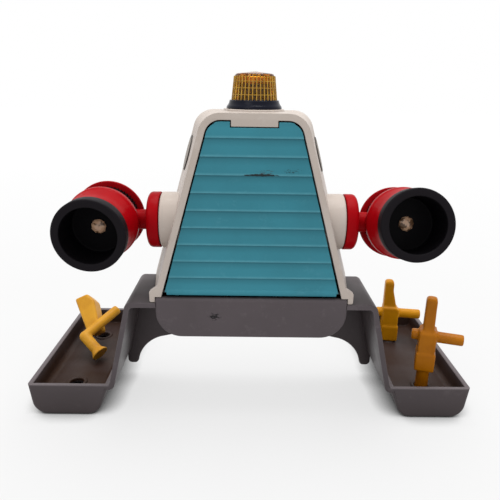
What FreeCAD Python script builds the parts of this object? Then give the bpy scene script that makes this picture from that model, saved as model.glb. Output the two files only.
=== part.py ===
# Toy lander: a white cabin with a slatted ramp door stands on a grey hull.
# Each outrigger carries a tray with peg sockets, and each cabin side a swivelling lamp pod.
# +X is to the right seen from the front, +Y to the rear, +Z up; the trays stand on Z = 0.
import FreeCAD, Part
import math
import os
import re

import Sketcher

Vector = FreeCAD.Vector
Placement = FreeCAD.Placement
Rotation = FreeCAD.Rotation

# Driving dimensions in millimetres and degrees
DIMENSIONS = {
    # hull tub: the shared front and rear planes, and the rim that carries the cabin
    "hull_front": 34.0,
    "hull_rear": 1.0,
    "tub_half": 40.8,
    "tub_top": 58.6,
    "tub_height": 18.3,
    "tub_corner": 11.0,
    "tub_lip": 1.8,
    "tub_wall": 2.4,
    "side_flare": 5.1,
    # outriggers: deck, sloping leg and tray
    "deck_top": 56.0,
    "deck_half": 53.7,
    "deck_round": 3.0,
    "leg_wall": 2.2,
    "leg_foot_half": 63.2,
    "flange_wall": 2.3,
    "flange_lap": 1.8,
    "tray_rim": 15.5,
    "tray_inner": 63.4,
    "tray_outer": 100.0,
    "tray_rear": 48.4,
    "tray_side_draft": 6.2,
    "tray_outer_draft": 1.8,
    "tray_end_round": 1.6,
    "tray_corner": 6.8,
    "tray_floor_round": 3.0,
    "foot_width": 3.0,
    "tray_wall": 2.0,
    "tray_floor_top": 7.0,
    "tray_floor_wall": 2.2,
    "socket_offset": 1.6,
    "socket_front_y": 18.5,
    "socket_rear_y": 29.5,
    "right_socket_in": 3.6,
    "socket_radius": 3.1,
    "socket_ring_width": 1.6,
    "socket_ring_rise": 0.6,
    # arched plate across the back, and its screws
    "bulkhead_wall": 2.4,
    "bulkhead_tip": 6.5,
    "bulkhead_tip_width": 5.2,
    "bulkhead_tip_round": 2.0,
    "bulkhead_gap": 0.3,
    "arch_shoulder_x": 45.8,
    "arch_shoulder_z": 21.6,
    "arch_crown": 27.0,
    "arch_bulge_x": 1.6,
    "arch_bulge_z": 2.6,
    "screw_radius": 1.0,
    "screw_length": 6.0,
    "screw_head_radius": 2.2,
    "screw_head_rise": 1.2,
    "screw_inner_x": 12.0,
    "screw_outer_x": 36.0,
    "screw_drop": 12.1,
    # cabin shell
    "cabin_front": 33.4,
    "cabin_half": 41.05,
    "cabin_height": 75.9,
    "cabin_slope": 0.28,
    "cabin_wall": 2.4,
    "cabin_corner": 9.0,
    "cabin_rear_corner": 4.0,
    "frame_width": 2.7,
    "frame_depth": 3.0,
    "frame_foot_half": 43.3,
    "frame_foot_rise": 2.2,
    "frame_foot_slope": 2.6,
    "frame_foot_gap": 0.2,
    "frame_foot_round": 0.8,
    "tab_half": 9.0,
    "tab_drop": 2.4,
    "porthole_radius": 7.5,
    "porthole_drop": 17.6,
    "porthole_back": 20.0,
    "porthole_proud": 0.5,
    "beacon_back": 20.0,
    "beacon_pad_radius": 12.6,
    "beacon_pad_rise": 0.8,
    "beacon_pad_sunk": 1.2,
    # ramp door and its hinge
    "door_gap": 0.95,
    "door_thick": 2.4,
    "door_corner": 5.5,
    "hinge_rise": 2.3,
    "hinge_radius": 1.6,
    "hinge_pin_radius": 0.7,
    "hinge_pin_cover": 0.9,
    "running_gap": 0.05,
    "slat_first": 6.6,
    "slat_pitch": 7.2,
    "slat_count": 9,
    "slat_lap": 0.7,
    # beacon
    "collar_radius": 11.45,
    "collar_top_radius": 10.2,
    "collar_rise": 3.5,
    "core_radius": 6.0,
    "core_rise": 6.5,
    "lens_radius": 9.45,
    "lens_top_radius": 8.5,
    "lens_rise": 11.2,
    "lens_wall": 1.2,
    "lens_shoulder": 1.5,
    "lens_crown": 0.5,
    # lamp pods, measured from the pivot on the pod's own axis
    "pod_x": 63.0,
    "pivot_y": 18.0,
    "pivot_z": 88.6,
    "left_tilt": 0.3,
    "right_tilt": 12.5,
    "boss_face": 38.9,
    "boss_depth": 8.9,
    "disc_radius": 12.05,
    "disc_thick": 5.1,
    "disc_round": 1.7,
    "disc_gap": 0.3,
    "stub_radius": 4.35,
    "stub_sink": 2.0,
    "muzzle_reach": 28.0,
    "rim_length": 5.7,
    "rim_radius": 14.4,
    "cup_radius": 11.1,
    "cup_wall": 1.1,
    "cup_depth": 15.5,
    "cup_floor": 1.4,
    "barrel_radius": 13.1,
    "lip_radius": 15.2,
    "lip_front": 8.6,
    "lip_length": 3.0,
    "groove_radius": 12.3,
    "groove_rear": 4.8,
    "cap_radius": 15.5,
    "cap_thick": 3.6,
    "cap_spigot_radius": 8.0,
    "cap_spigot_length": 2.4,
    "seat_gap": 0.1,
    "jewel_radius": 3.15,
    "jewel_rise": 1.7,
    "jewel_girdle": 0.6,
    "jewel_table": 1.95,
    "jewel_crown": 0.35,
    "jewel_stem_radius": 2.2,
    "pin_radius": 2.0,
    "washer_radius": 5.0,
    "washer_thick": 1.2,
    # peg tools
    "post_radius": 3.0,
    "post_shown": 10.4,
    "post_plugged": 5.2,
    "block_half": 3.9,
    "block_depth": 8.6,
    "block_height": 20.2,
    "block_chamfer": 1.4,
    "block_step": 9.0,
    "block_step_width": 0.5,
    "lever_half": 2.5,
    "lever_depth": 4.8,
    "lever_height": 15.6,
    "web_height": 9.8,
    "rod_radius": 2.65,
    "rod_up": 16.1,
    "rod_left": 3.4,
    "rod_right": 12.0,
    "tool_round": 1.0,
    "lever_round": 1.8,
    "front_tool_turn": -18.0,
    "rear_tool_turn": 82.0,
    # loose tool: places in from the tray's outer wall, along the tray, and up from its floor
    "arm_radius": 2.8,
    "loose_rod_radius": 2.6,
    "foot_radius": 4.7,
    "foot_flare": 3.2,
    "lie_gap": 0.3,
    "lie_foot_in": 23.0,
    "lie_foot_y": 1.0,
    "lie_foot_up": 3.4,
    "lie_elbow_in": 13.5,
    "lie_elbow_y": 7.5,
    "lie_elbow_up": 10.0,
    "lie_rod_in": 27.0,
    "lie_rod_y": 24.5,
    "lie_rod_up": 18.0,
    "lie_block_in": 17.0,
    "lie_block_y": 17.0,
    "lie_block_up": 7.0,
    "lie_head_in": 8.2,
    "lie_head_y": 31.0,
    "lie_head_up": 21.8,
    "head_half": 5.0,
    "head_depth": 9.8,
    "head_taper": 1.5,
    "head_brow": 5.0,
}

doc = FreeCAD.newDocument("toy_lander")
sheet = doc.addObject("Spreadsheet::Sheet", "Dims")
for row, (alias, number) in enumerate(DIMENSIONS.items(), 1):
    sheet.set("A%d" % row, alias)
    sheet.set("B%d" % row, str(number))
    sheet.setAlias("B%d" % row, alias)
doc.recompute()

NODES = {}

# Distance of the peg sockets from the middle of the hull
SOCKET_X = "(tray_inner + tray_outer) / 2 + socket_offset"


def bind(expression):
    """The expression with each dimension's name pointed at its cell."""
    return re.sub(r"[a-z]\w*",
                  lambda word: "Dims." + word[0] if word[0] in DIMENSIONS else word[0], expression)


def size(expression):
    """The number that an expression of dimensions stands for."""
    return float(sheet.evalExpression(expression))


def new_body(label):
    body = doc.addObject("PartDesign::Body", label)
    body.Label = label
    return body


def new_sketch(body, plane_role, offset):
    """An empty sketch on one of the body's origin planes, shifted along the plane's normal."""
    sketch = body.newObject("Sketcher::SketchObject", body.Label + "_sketch")
    plane = next(item for item in body.Origin.OriginFeatures if item.Role == plane_role)
    sketch.AttachmentSupport = [(plane, "")]
    sketch.MapMode = "FlatFace"
    sketch.AttachmentOffset = Placement(Vector(0, 0, size(offset)), Rotation())
    sketch.setExpression("AttachmentOffset.Base.z", bind(offset))
    return sketch


def hold_point(sketch, geometry, end, x, y):
    """Tie one point of the sketch to two expressions."""
    for kind, expression in (("DistanceX", x), ("DistanceY", y)):
        index = sketch.addConstraint(Sketcher.Constraint(kind, -1, 1, geometry, end, size(expression)))
        sketch.setExpression("Constraints[%d]" % index, bind(expression))


def outline(body, plane_role, offset, points, through=None, rounds=None):
    """A closed outline through the points.

    A side listed in through is an arc by that point; a corner listed in rounds has that radius.
    """
    through = through or {}
    rounds = rounds or {}
    sketch = new_sketch(body, plane_role, offset)
    corners = [Vector(size(x), size(y), 0) for x, y in points]
    count = len(corners)
    starts = list(corners)
    stops = list(corners)
    for corner, radius in rounds.items():
        to_last = (corners[corner - 1] - corners[corner]).normalize()
        to_next = (corners[(corner + 1) % count] - corners[corner]).normalize()
        tangent = size(radius) / math.tan(to_last.getAngle(to_next) / 2)
        stops[corner] = corners[corner] + to_last * tangent
        starts[corner] = corners[corner] + to_next * tangent
    for side in range(count):
        start = starts[side]
        stop = stops[(side + 1) % count]
        if side in through:
            middle = Vector(size(through[side][0]), size(through[side][1]), 0)
            sketch.addGeometry(Part.Arc(start, middle, stop), False)
        else:
            sketch.addGeometry(Part.LineSegment(start, stop), False)

    def end_at(geometry, place):
        return 1 if sketch.getPoint(geometry, 1).distanceToPoint(place) < 1e-6 else 2

    for corner, (x, y) in enumerate(points):
        before = (corner - 1) % count
        last_end = end_at(before, stops[corner])
        next_end = end_at(corner, starts[corner])
        if corner in rounds:
            round_corner(sketch, points[corner], rounds[corner], (before, last_end), (corner, next_end))
        else:
            sketch.addConstraint(Sketcher.Constraint("Coincident", before, last_end, corner, next_end))
            hold_point(sketch, corner, next_end, x, y)
    for side, (x, y) in through.items():
        mark = sketch.addGeometry(Part.Point(Vector(size(x), size(y), 0)), True)
        hold_point(sketch, mark, 1, x, y)
        sketch.addConstraint(Sketcher.Constraint("PointOnObject", mark, 1, side))
    return sketch


def round_corner(sketch, point, radius, last, following):
    """An arc of the given radius between two sides, which would meet at the point."""
    stop = sketch.getPoint(*last)
    start = sketch.getPoint(*following)
    corner = Vector(size(point[0]), size(point[1]), 0)
    inward = ((stop + start) * 0.5 - corner).normalize()
    reach = math.hypot(size(radius), (stop - corner).Length)
    middle = corner + inward * (reach - size(radius))
    arc = sketch.addGeometry(Part.Arc(stop, middle, start), False)
    arc_end = 1 if sketch.getPoint(arc, 1).distanceToPoint(stop) < 1e-6 else 2
    sketch.addConstraint(Sketcher.Constraint("Tangent", last[0], last[1], arc, arc_end))
    sketch.addConstraint(Sketcher.Constraint("Tangent", arc, 3 - arc_end, following[0], following[1]))
    index = sketch.addConstraint(Sketcher.Constraint("Radius", arc, size(radius)))
    sketch.setExpression("Constraints[%d]" % index, bind(radius))
    mark = sketch.addGeometry(Part.Point(corner), True)
    hold_point(sketch, mark, 1, *point)
    sketch.addConstraint(Sketcher.Constraint("PointOnObject", mark, 1, last[0]))
    sketch.addConstraint(Sketcher.Constraint("PointOnObject", mark, 1, following[0]))


def circle(body, plane_role, offset, x, y, radius):
    sketch = new_sketch(body, plane_role, offset)
    centre = Vector(size(x), size(y), 0)
    sketch.addGeometry(Part.Circle(centre, Vector(0, 0, 1), size(radius)), False)
    hold_point(sketch, 0, 3, x, y)
    index = sketch.addConstraint(Sketcher.Constraint("Radius", 0, size(radius)))
    sketch.setExpression("Constraints[%d]" % index, bind(radius))
    return sketch


def finish_feature(feature):
    doc.recompute()
    if "Invalid" in feature.State or "Error" in feature.State or feature.Shape.isNull():
        raise RuntimeError(feature.Label + " failed")
    return feature


def extrude(body, kind, sketch, length, reverse=False, both_ways=False):
    """A Pad or a Pocket of the sketch; the body's volume has to change."""
    before = body.Shape.Volume if body.Tip else 0.0
    feature = body.newObject("PartDesign::" + kind, body.Label + "_" + kind.lower())
    feature.Profile = sketch
    feature.Length = size(length)
    feature.setExpression("Length", bind(length))
    feature.Reversed = reverse
    if both_ways:
        feature.SideType = "Symmetric"
    finish_feature(feature)
    if abs(body.Shape.Volume - before) < 1e-6:
        raise RuntimeError(feature.Label + " changed nothing")
    return feature


def lean_sides(body, angle, foot):
    """Lean the two side faces inward about their lower edges, which lie at the foot's height."""
    base = body.Tip
    sides = []
    floor = None
    for index, face in enumerate(base.Shape.Faces, 1):
        normal = face.normalAt(0, 0)
        if abs(normal.x) > 0.7:
            sides.append("Face%d" % index)
        elif normal.z < -0.7 and near(face.CenterOfMass.z, foot):
            floor = "Face%d" % index
    feature = body.newObject("PartDesign::Draft", body.Label + "_lean")
    feature.Base = (base, sides)
    feature.NeutralPlane = (base, [floor])
    feature.Angle = size(angle)
    feature.setExpression("Angle", bind(angle))
    finish_feature(feature)
    if feature.Shape.Volume > base.Shape.Volume:
        feature.Reversed = True
        finish_feature(feature)
    return feature


def revolve(body, sketch, axis, kind="Revolution"):
    feature = body.newObject("PartDesign::" + kind, body.Label + "_turned")
    feature.Profile = sketch
    feature.ReferenceAxis = (sketch, [axis])
    feature.Angle = 360
    return finish_feature(feature)


def round_edges(body, radius, wanted):
    """Round the edges of the body's newest feature whose middle passes the test."""
    base = body.Tip
    picked = []
    for index, edge in enumerate(base.Shape.Edges, 1):
        middle = edge.valueAt((edge.FirstParameter + edge.LastParameter) / 2)
        if wanted(middle, edge):
            picked.append("Edge%d" % index)
    if not picked:
        raise RuntimeError(body.Label + ": no edge to round")
    feature = body.newObject("PartDesign::Fillet", body.Label + "_round")
    feature.Base = (base, picked)
    feature.Radius = size(radius)
    feature.setExpression("Radius", bind(radius))
    return finish_feature(feature)


def near(value, expression):
    return abs(value - size(expression)) < 0.02


def box_span(edge):
    box = edge.BoundBox
    return Vector(box.XLength, box.YLength, box.ZLength)


def rectangle(left, right, low, high):
    return [(left, low), (right, low), (right, high), (left, high)]


def cylinder(label, radius, length, base, direction):
    """A plain cylinder bound to its radius and length, standing on base along direction."""
    piece = doc.addObject("Part::Cylinder", label)
    piece.Label = label
    piece.Radius = size(radius)
    piece.Height = size(length)
    piece.setExpression("Radius", bind(radius))
    piece.setExpression("Height", bind(length))
    piece.Placement = Placement(base, Rotation(Vector(0, 0, 1), direction))
    doc.recompute()
    return piece


def combine(kind, label, base, tool):
    piece = doc.addObject("Part::" + kind, label)
    piece.Label = label
    piece.Base = base
    piece.Tool = tool
    return finish_feature(piece)


def hull_plan(front_half, rear_half, front, rear):
    """Plan of the hull: a trapezoid that widens to the rear."""
    return [
        ("-(%s)" % front_half, front),
        (front_half, front),
        (rear_half, rear),
        ("-(%s)" % rear_half, rear),
    ]


def hull_tub():
    """Open pan with big lower corners; its rim is the cabin's seat and the ramp's sill."""
    body = new_body("hull_tub")
    low = "tub_top - tub_height"
    plan = hull_plan("tub_half", "tub_half + side_flare", "-hull_front", "hull_rear")
    extrude(body, "Pad", outline(body, "XY_Plane", low, plan), "tub_height")
    plan = hull_plan("tub_half - tub_wall", "tub_half + side_flare - tub_wall",
                     "tub_wall - hull_front", "hull_rear - tub_wall")
    extrude(body, "Pocket", outline(body, "XY_Plane", "tub_top", plan), "tub_height - tub_wall")
    round_edges(body, "tub_corner - tub_wall",
                lambda at, edge: near(at.z, low + " + tub_wall") and box_span(edge).y > 1)
    round_edges(body, "tub_corner",
                lambda at, edge: near(at.z, low) and box_span(edge).y > 1)
    round_edges(body, "tub_lip",
                lambda at, edge: near(at.z, "tub_top") and near(at.y, "-hull_front"))
    for x in screw_places():
        hole = circle(body, "XZ_Plane", "-hull_rear", x, "tub_top - screw_drop", "screw_radius")
        extrude(body, "Pocket", hole, "tub_wall + tub_lip", reverse=True)
    NODES[body.Label] = body


def screw_places():
    return ["-screw_outer_x", "-screw_inner_x", "screw_inner_x", "screw_outer_x"]


def rear_socket_x(side):
    """Distance of a tray's rear socket from the middle; the right tray's sits further in."""
    if side > 0:
        return SOCKET_X + " - right_socket_in"
    return SOCKET_X


def outrigger(label, side):
    """Deck, sloping leg and drafted tray in one moulding; side is 1 on the right and -1 on the left."""
    def across(expression):
        return "%d * (%s)" % (side, expression)

    body = new_body(label)
    lean = "((leg_foot_half - deck_half) / (deck_top - tray_rim))"
    wall_across = "(leg_wall * sqrt(1 + %s ^ 2))" % lean
    under_deck = "deck_top - leg_wall"
    under_flange = "tray_rim - flange_wall"
    inner_top = "leg_foot_half - %s * (deck_top - leg_wall - tray_rim) - %s" % (lean, wall_across)
    inner_foot = "leg_foot_half + %s * flange_wall - %s" % (lean, wall_across)
    rim_end = "tray_inner + flange_lap"
    points = [
        (across("tub_half"), "deck_top"),
        (across("deck_half"), "deck_top"),
        (across("leg_foot_half"), "tray_rim"),
        (across(rim_end), "tray_rim"),
        (across(rim_end), under_flange),
        (across(inner_foot), under_flange),
        (across(inner_top), under_deck),
        (across("tub_half"), under_deck),
    ]
    bends = {1: "deck_round", 2: "deck_round / 2", 5: "deck_round", 6: "deck_round - leg_wall / 2"}
    strip = outline(body, "XZ_Plane", "hull_front", points, rounds=bends)
    extrude(body, "Pad", strip, "hull_front + hull_rear", reverse=True)
    wedge = outline(body, "XY_Plane", "deck_top", [
        (across("tub_half"), "-hull_front"),
        (across("tub_half + side_flare"), "hull_rear"),
        (across("tub_half"), "hull_rear"),
    ])
    extrude(body, "Pocket", wedge, "leg_wall")

    tray = new_body(label + "_tray")
    inner_low = "tray_inner + tray_side_draft"
    outer_low = "tray_outer - tray_outer_draft"
    zero = "0 * tray_rim"
    points = [
        (across("tray_inner"), "tray_rim"),
        (across(inner_low), zero),
        (across(outer_low), zero),
        (across("tray_outer"), "tray_rim"),
    ]
    section = outline(tray, "XZ_Plane", "hull_front", points, rounds={1: "tray_corner", 2: "tray_corner"})
    extrude(tray, "Pad", section, "hull_front + tray_rear", reverse=True)
    round_edges(tray, "tray_end_round",
                lambda at, edge: at.z < size("tray_rim") - 1
                and (near(at.y, "-hull_front") or near(at.y, "tray_rear")))
    height = "(tray_floor_top / tray_rim)"
    inner_floor = "tray_inner + tray_side_draft * (1 - %s) + tray_wall" % height
    outer_floor = "tray_outer - tray_outer_draft * (1 - %s) - tray_wall" % height
    points = [
        (across("tray_inner + tray_wall"), "tray_rim"),
        (across(inner_floor), "tray_floor_top"),
        (across(outer_floor), "tray_floor_top"),
        (across("tray_outer - tray_wall"), "tray_rim"),
    ]
    section = outline(tray, "XZ_Plane", "hull_front - tray_wall", points,
                      rounds={1: "tray_floor_round", 2: "tray_floor_round"})
    extrude(tray, "Pocket", section, "hull_front + tray_rear - 2 * tray_wall")
    hollow = outline(tray, "XY_Plane", zero,
                     rectangle(across(inner_low + " + tray_corner + foot_width"),
                               across(outer_low + " - tray_corner - foot_width"),
                               "tray_wall + foot_width - hull_front", "tray_rear - tray_wall - foot_width"))
    extrude(tray, "Pocket", hollow, "tray_floor_top - tray_floor_wall", reverse=True)
    for x, y in ((SOCKET_X, "-socket_front_y"), (rear_socket_x(side), "socket_rear_y")):
        ring = circle(tray, "XY_Plane", "tray_floor_top - tray_floor_wall", across(x), y,
                      "socket_radius + socket_ring_width")
        extrude(tray, "Pad", ring, "tray_floor_wall + socket_ring_rise")
        hole = circle(tray, "XY_Plane", "tray_floor_top + socket_ring_rise", across(x), y,
                      "socket_radius")
        extrude(tray, "Pocket", hole, "tray_floor_top")
    piece = combine("Fuse", label + "_moulding", body, tray)
    piece.Label = label
    body.Label = label + "_deck"
    NODES[label] = piece


def rear_bulkhead():
    """Arched plate across the back of the tub and both legs, with four screw holes."""
    body = new_body("rear_bulkhead")
    lean = "((leg_foot_half - deck_half) / (deck_top - tray_rim))"
    foot = "leg_foot_half - bulkhead_gap"
    foot_top = "tray_rim + bulkhead_gap / %s" % lean
    tip = "leg_foot_half - bulkhead_gap - bulkhead_tip_width"
    bend_x = "(arch_shoulder_x + %s) / 2 + arch_bulge_x" % tip
    bend_z = "(arch_shoulder_z + bulkhead_tip) / 2 + arch_bulge_z"
    top = "deck_top - leg_wall"
    points = [
        ("-deck_half", top),
        ("deck_half", top),
        (foot, foot_top),
        (foot, "bulkhead_tip"),
        (tip, "bulkhead_tip"),
        ("arch_shoulder_x", "arch_shoulder_z"),
        ("-arch_shoulder_x", "arch_shoulder_z"),
        ("-(%s)" % tip, "bulkhead_tip"),
        ("-(%s)" % foot, "bulkhead_tip"),
        ("-(%s)" % foot, foot_top),
    ]
    arcs = {
        4: (bend_x, bend_z),
        5: ("0 * arch_crown", "arch_crown"),
        6: ("-(%s)" % bend_x, bend_z),
    }
    plate = outline(body, "XZ_Plane", "-hull_rear", points, arcs)
    extrude(body, "Pad", plate, "bulkhead_wall", reverse=True)
    round_edges(body, "deck_round",
                lambda at, edge: near(at.z, top) and near(abs(at.x), "deck_half"))
    round_edges(body, "bulkhead_tip_round",
                lambda at, edge: near(at.z, "bulkhead_tip") and box_span(edge).y > 1)
    for x in screw_places():
        hole = circle(body, "XZ_Plane", "-hull_rear", x, "tub_top - screw_drop", "screw_radius + seat_gap")
        extrude(body, "Pocket", hole, "bulkhead_wall")
    NODES[body.Label] = body

    screws = []
    for x in screw_places():
        seat = Vector(size(x), size("hull_rear + bulkhead_wall"), size("tub_top - screw_drop"))
        head = cylinder("screw_head", "screw_head_radius", "screw_head_rise", seat, Vector(0, 1, 0))
        shank = cylinder("screw_shank", "screw_radius", "screw_length", seat, Vector(0, -1, 0))
        screws.append(combine("Fuse", "screw", head, shank))
    group = doc.addObject("Part::Compound", "bulkhead_screws")
    group.Label = "bulkhead_screws"
    group.Links = screws
    doc.recompute()
    NODES[group.Label] = group


def cabin_half_at(height, y_from_front):
    """Half-width of the cabin's outside at a height above its base and a depth behind its front."""
    depth = "(cabin_front + hull_rear)"
    return "cabin_half - cabin_slope * (%s) + side_flare * (%s) / %s" % (height, y_from_front, depth)


def trapezoid(bottom_half, top_half, low, high):
    return [("-(%s)" % bottom_half, low), (bottom_half, low), (top_half, high), ("-(%s)" % top_half, high)]


def side_wall_normal(side):
    along = Vector(side * size("side_flare"), size("cabin_front + hull_rear"), 0)
    up = Vector(-side * size("cabin_slope"), 0, 1)
    normal = along.cross(up)
    normal.normalize()
    return normal if normal.x * side > 0 else normal * -1


def porthole_seat(side):
    """Centre of a porthole on the outer face of the side wall."""
    height = "cabin_height - porthole_drop"
    x = size(cabin_half_at(height, "porthole_back"))
    return Vector(side * x, size("porthole_back - cabin_front"), size("tub_top + " + height))


def door_half_at(height):
    """Half-width of the door opening at a height above the cabin's base."""
    return "cabin_half - cabin_slope * (%s) - frame_width" % height


def cabin_shell():
    """Hollow drafted shell: front frame with two feet, latch tab, side bosses and a beacon pad."""
    body = new_body("cabin_mould")
    depth = "(cabin_front + hull_rear)"
    top = "tub_top + cabin_height"
    zero = "0 * cabin_height"
    below = "-cabin_wall"
    lean = "atan(cabin_slope * cos(atan(side_flare / %s)))" % depth
    plan = hull_plan(cabin_half_at(zero, zero), cabin_half_at(zero, depth), "-cabin_front", "hull_rear")
    extrude(body, "Pad", outline(body, "XY_Plane", "tub_top", plan), "cabin_height")
    lean_sides(body, lean, "tub_top")
    round_edges(body, "cabin_corner",
                lambda at, edge: near(at.z, top) and box_span(edge).y > 1)
    round_edges(body, "cabin_rear_corner",
                lambda at, edge: near(at.y, "hull_rear") and at.z > size("tub_top") + 1)

    core = new_body("cabin_core")
    foot = "tub_top - cabin_wall"
    back = depth + " - cabin_wall"
    plan = hull_plan(cabin_half_at(below, "frame_depth") + " - cabin_wall",
                     cabin_half_at(below, back) + " - cabin_wall",
                     "frame_depth - cabin_front", "hull_rear - cabin_wall")
    extrude(core, "Pad", outline(core, "XY_Plane", foot, plan), "cabin_height")
    lean_sides(core, lean, foot)
    round_edges(core, "cabin_corner - cabin_wall",
                lambda at, edge: near(at.z, foot + " + cabin_height") and box_span(edge).y > 1)
    shell = combine("Cut", "cabin_hollow", body, core)

    door_top = "cabin_height - frame_width"
    cutter = new_body("door_opening")
    corners = {2: "door_corner + door_gap", 3: "door_corner + door_gap"}
    opening = outline(cutter, "XZ_Plane", "cabin_front",
                      trapezoid(door_half_at(below), door_half_at(door_top), foot, "tub_top + " + door_top),
                      rounds=corners)
    extrude(cutter, "Pad", opening, "frame_depth", reverse=True)
    shell = combine("Cut", "cabin_framed", shell, cutter)

    fittings = new_body("cabin_fittings")
    tab = outline(fittings, "XZ_Plane", "cabin_front",
                  rectangle("-tab_half", "tab_half", "tub_top + %s - tab_drop" % door_top,
                            "tub_top + %s + frame_width / 2" % door_top))
    extrude(fittings, "Pad", tab, "door_thick", reverse=True)
    shell = combine("Fuse", "cabin_tabbed", shell, fittings)
    foot_low = "deck_top + frame_foot_gap"
    foot_high = "frame_foot_rise + frame_foot_slope"
    seat_half = cabin_half_at(zero, zero)
    high_half = cabin_half_at(foot_high, zero)
    for side in (1, -1):
        feet = new_body("cabin_foot")
        points = [
            ("%d * (%s - frame_width / 2)" % (side, seat_half), "tub_top"),
            ("%d * (%s)" % (side, seat_half), "tub_top"),
            ("%d * (%s)" % (side, seat_half), foot_low),
            ("%d * frame_foot_half" % side, foot_low),
            ("%d * frame_foot_half" % side, "tub_top + frame_foot_rise"),
            ("%d * (%s)" % (side, high_half), "tub_top + " + foot_high),
            ("%d * (%s - frame_width / 2)" % (side, high_half), "tub_top + " + foot_high),
        ]
        foot_face = outline(feet, "XZ_Plane", "cabin_front", points, rounds={3: "frame_foot_round"})
        extrude(feet, "Pad", foot_face, "frame_depth", reverse=True)
        shell = combine("Fuse", "cabin_footed", shell, feet)
    for side in (1, -1):
        face = Vector(side * size("boss_face"), -size("pivot_y"), size("pivot_z"))
        inward = Vector(-side, 0, 0)
        boss = cylinder("boss", "disc_radius", "boss_depth", face, inward)
        shell = combine("Fuse", "cabin_bossed", shell, boss)
        bore = cylinder("boss_bore", "pin_radius + running_gap", "boss_depth", face, inward)
        shell = combine("Cut", "cabin_bored", shell, bore)
    roof = Vector(0, size("beacon_back - cabin_front"), size(top + " - beacon_pad_sunk"))
    pad = cylinder("beacon_pad", "beacon_pad_radius", "beacon_pad_sunk + beacon_pad_rise",
                   roof, Vector(0, 0, 1))
    shell = combine("Fuse", "cabin_padded", shell, pad)

    for side in (1, -1):
        normal = side_wall_normal(side)
        reach = size("cabin_wall * 2")
        hole = cylinder("porthole_hole", "porthole_radius", "cabin_wall * 4",
                        porthole_seat(side) - normal * reach, normal)
        shell = combine("Cut", "cabin_holed", shell, hole)
    seat = hinge_pin("hinge_seat")
    shell = combine("Cut", "cabin_shell", shell, seat)
    NODES["cabin_shell"] = shell

    for side, label in ((-1, "left_porthole"), (1, "right_porthole")):
        normal = side_wall_normal(side)
        NODES[label] = cylinder(label, "porthole_radius", "cabin_wall + porthole_proud",
                                porthole_seat(side) - normal * size("cabin_wall"), normal)


def hinge_pin(label):
    """Rod along the ramp's lower edge; its ends stop inside the front frame."""
    half = cabin_half_at("hinge_rise", "0 * hinge_rise") + " - hinge_pin_cover"
    start = Vector(-size(half), size("door_thick / 2 - cabin_front"), size("tub_top + hinge_rise"))
    return cylinder(label, "hinge_pin_radius", "2 * (%s)" % half, start, Vector(1, 0, 0))


def ramp_door():
    """Lapped-slat panel with a latch notch in its top edge and a hinge barrel along its foot."""
    body = new_body("ramp_door")
    low = "tub_top + hinge_rise"
    door_top = "cabin_height - frame_width - door_gap"
    high = "tub_top + " + door_top
    foot_half = door_half_at("hinge_rise") + " - door_gap"
    top_half = door_half_at(door_top) + " - door_gap"
    panel = outline(body, "XZ_Plane", "cabin_front", trapezoid(foot_half, top_half, low, high))
    extrude(body, "Pad", panel, "door_thick", reverse=True)
    round_edges(body, "door_corner", lambda at, edge: near(at.z, high) and box_span(edge).y > 1)
    notch = outline(body, "XZ_Plane", "cabin_front",
                    rectangle("-(tab_half + door_gap)", "tab_half + door_gap", high + " - tab_drop", high))
    extrude(body, "Pocket", notch, "door_thick")

    first = "tub_top + hinge_rise + slat_first - slat_pitch"
    lap = outline(body, "YZ_Plane", "0 * slat_lap", [
        ("-cabin_front", first),
        ("slat_lap - cabin_front", first + " + slat_pitch"),
        ("-cabin_front", first + " + slat_pitch"),
    ])
    cut = extrude(body, "Pocket", lap, "2 * cabin_half", both_ways=True)
    pattern = body.newObject("PartDesign::LinearPattern", "slats")
    pattern.Originals = [cut]
    upright = next(item for item in body.Origin.OriginFeatures if item.Role == "Z_Axis")
    pattern.Direction = (upright, [""])
    pattern.Occurrences = int(size("slat_count"))
    pattern.Length = size("slat_pitch * (slat_count - 1)")
    pattern.setExpression("Length", bind("slat_pitch * (slat_count - 1)"))
    body.Tip = pattern
    finish_feature(pattern)

    barrel = circle(body, "YZ_Plane", "0 * slat_lap", "door_thick / 2 - cabin_front", low, "hinge_radius")
    extrude(body, "Pad", barrel, "2 * (%s)" % (foot_half + " - hinge_radius / 2"), both_ways=True)
    bore = circle(body, "YZ_Plane", "0 * slat_lap", "door_thick / 2 - cabin_front", low,
                  "hinge_pin_radius + running_gap")
    extrude(body, "Pocket", bore, "2 * cabin_half", both_ways=True)
    NODES[body.Label] = body
    NODES["ramp_hinge_pin"] = hinge_pin("ramp_hinge_pin")


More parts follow.
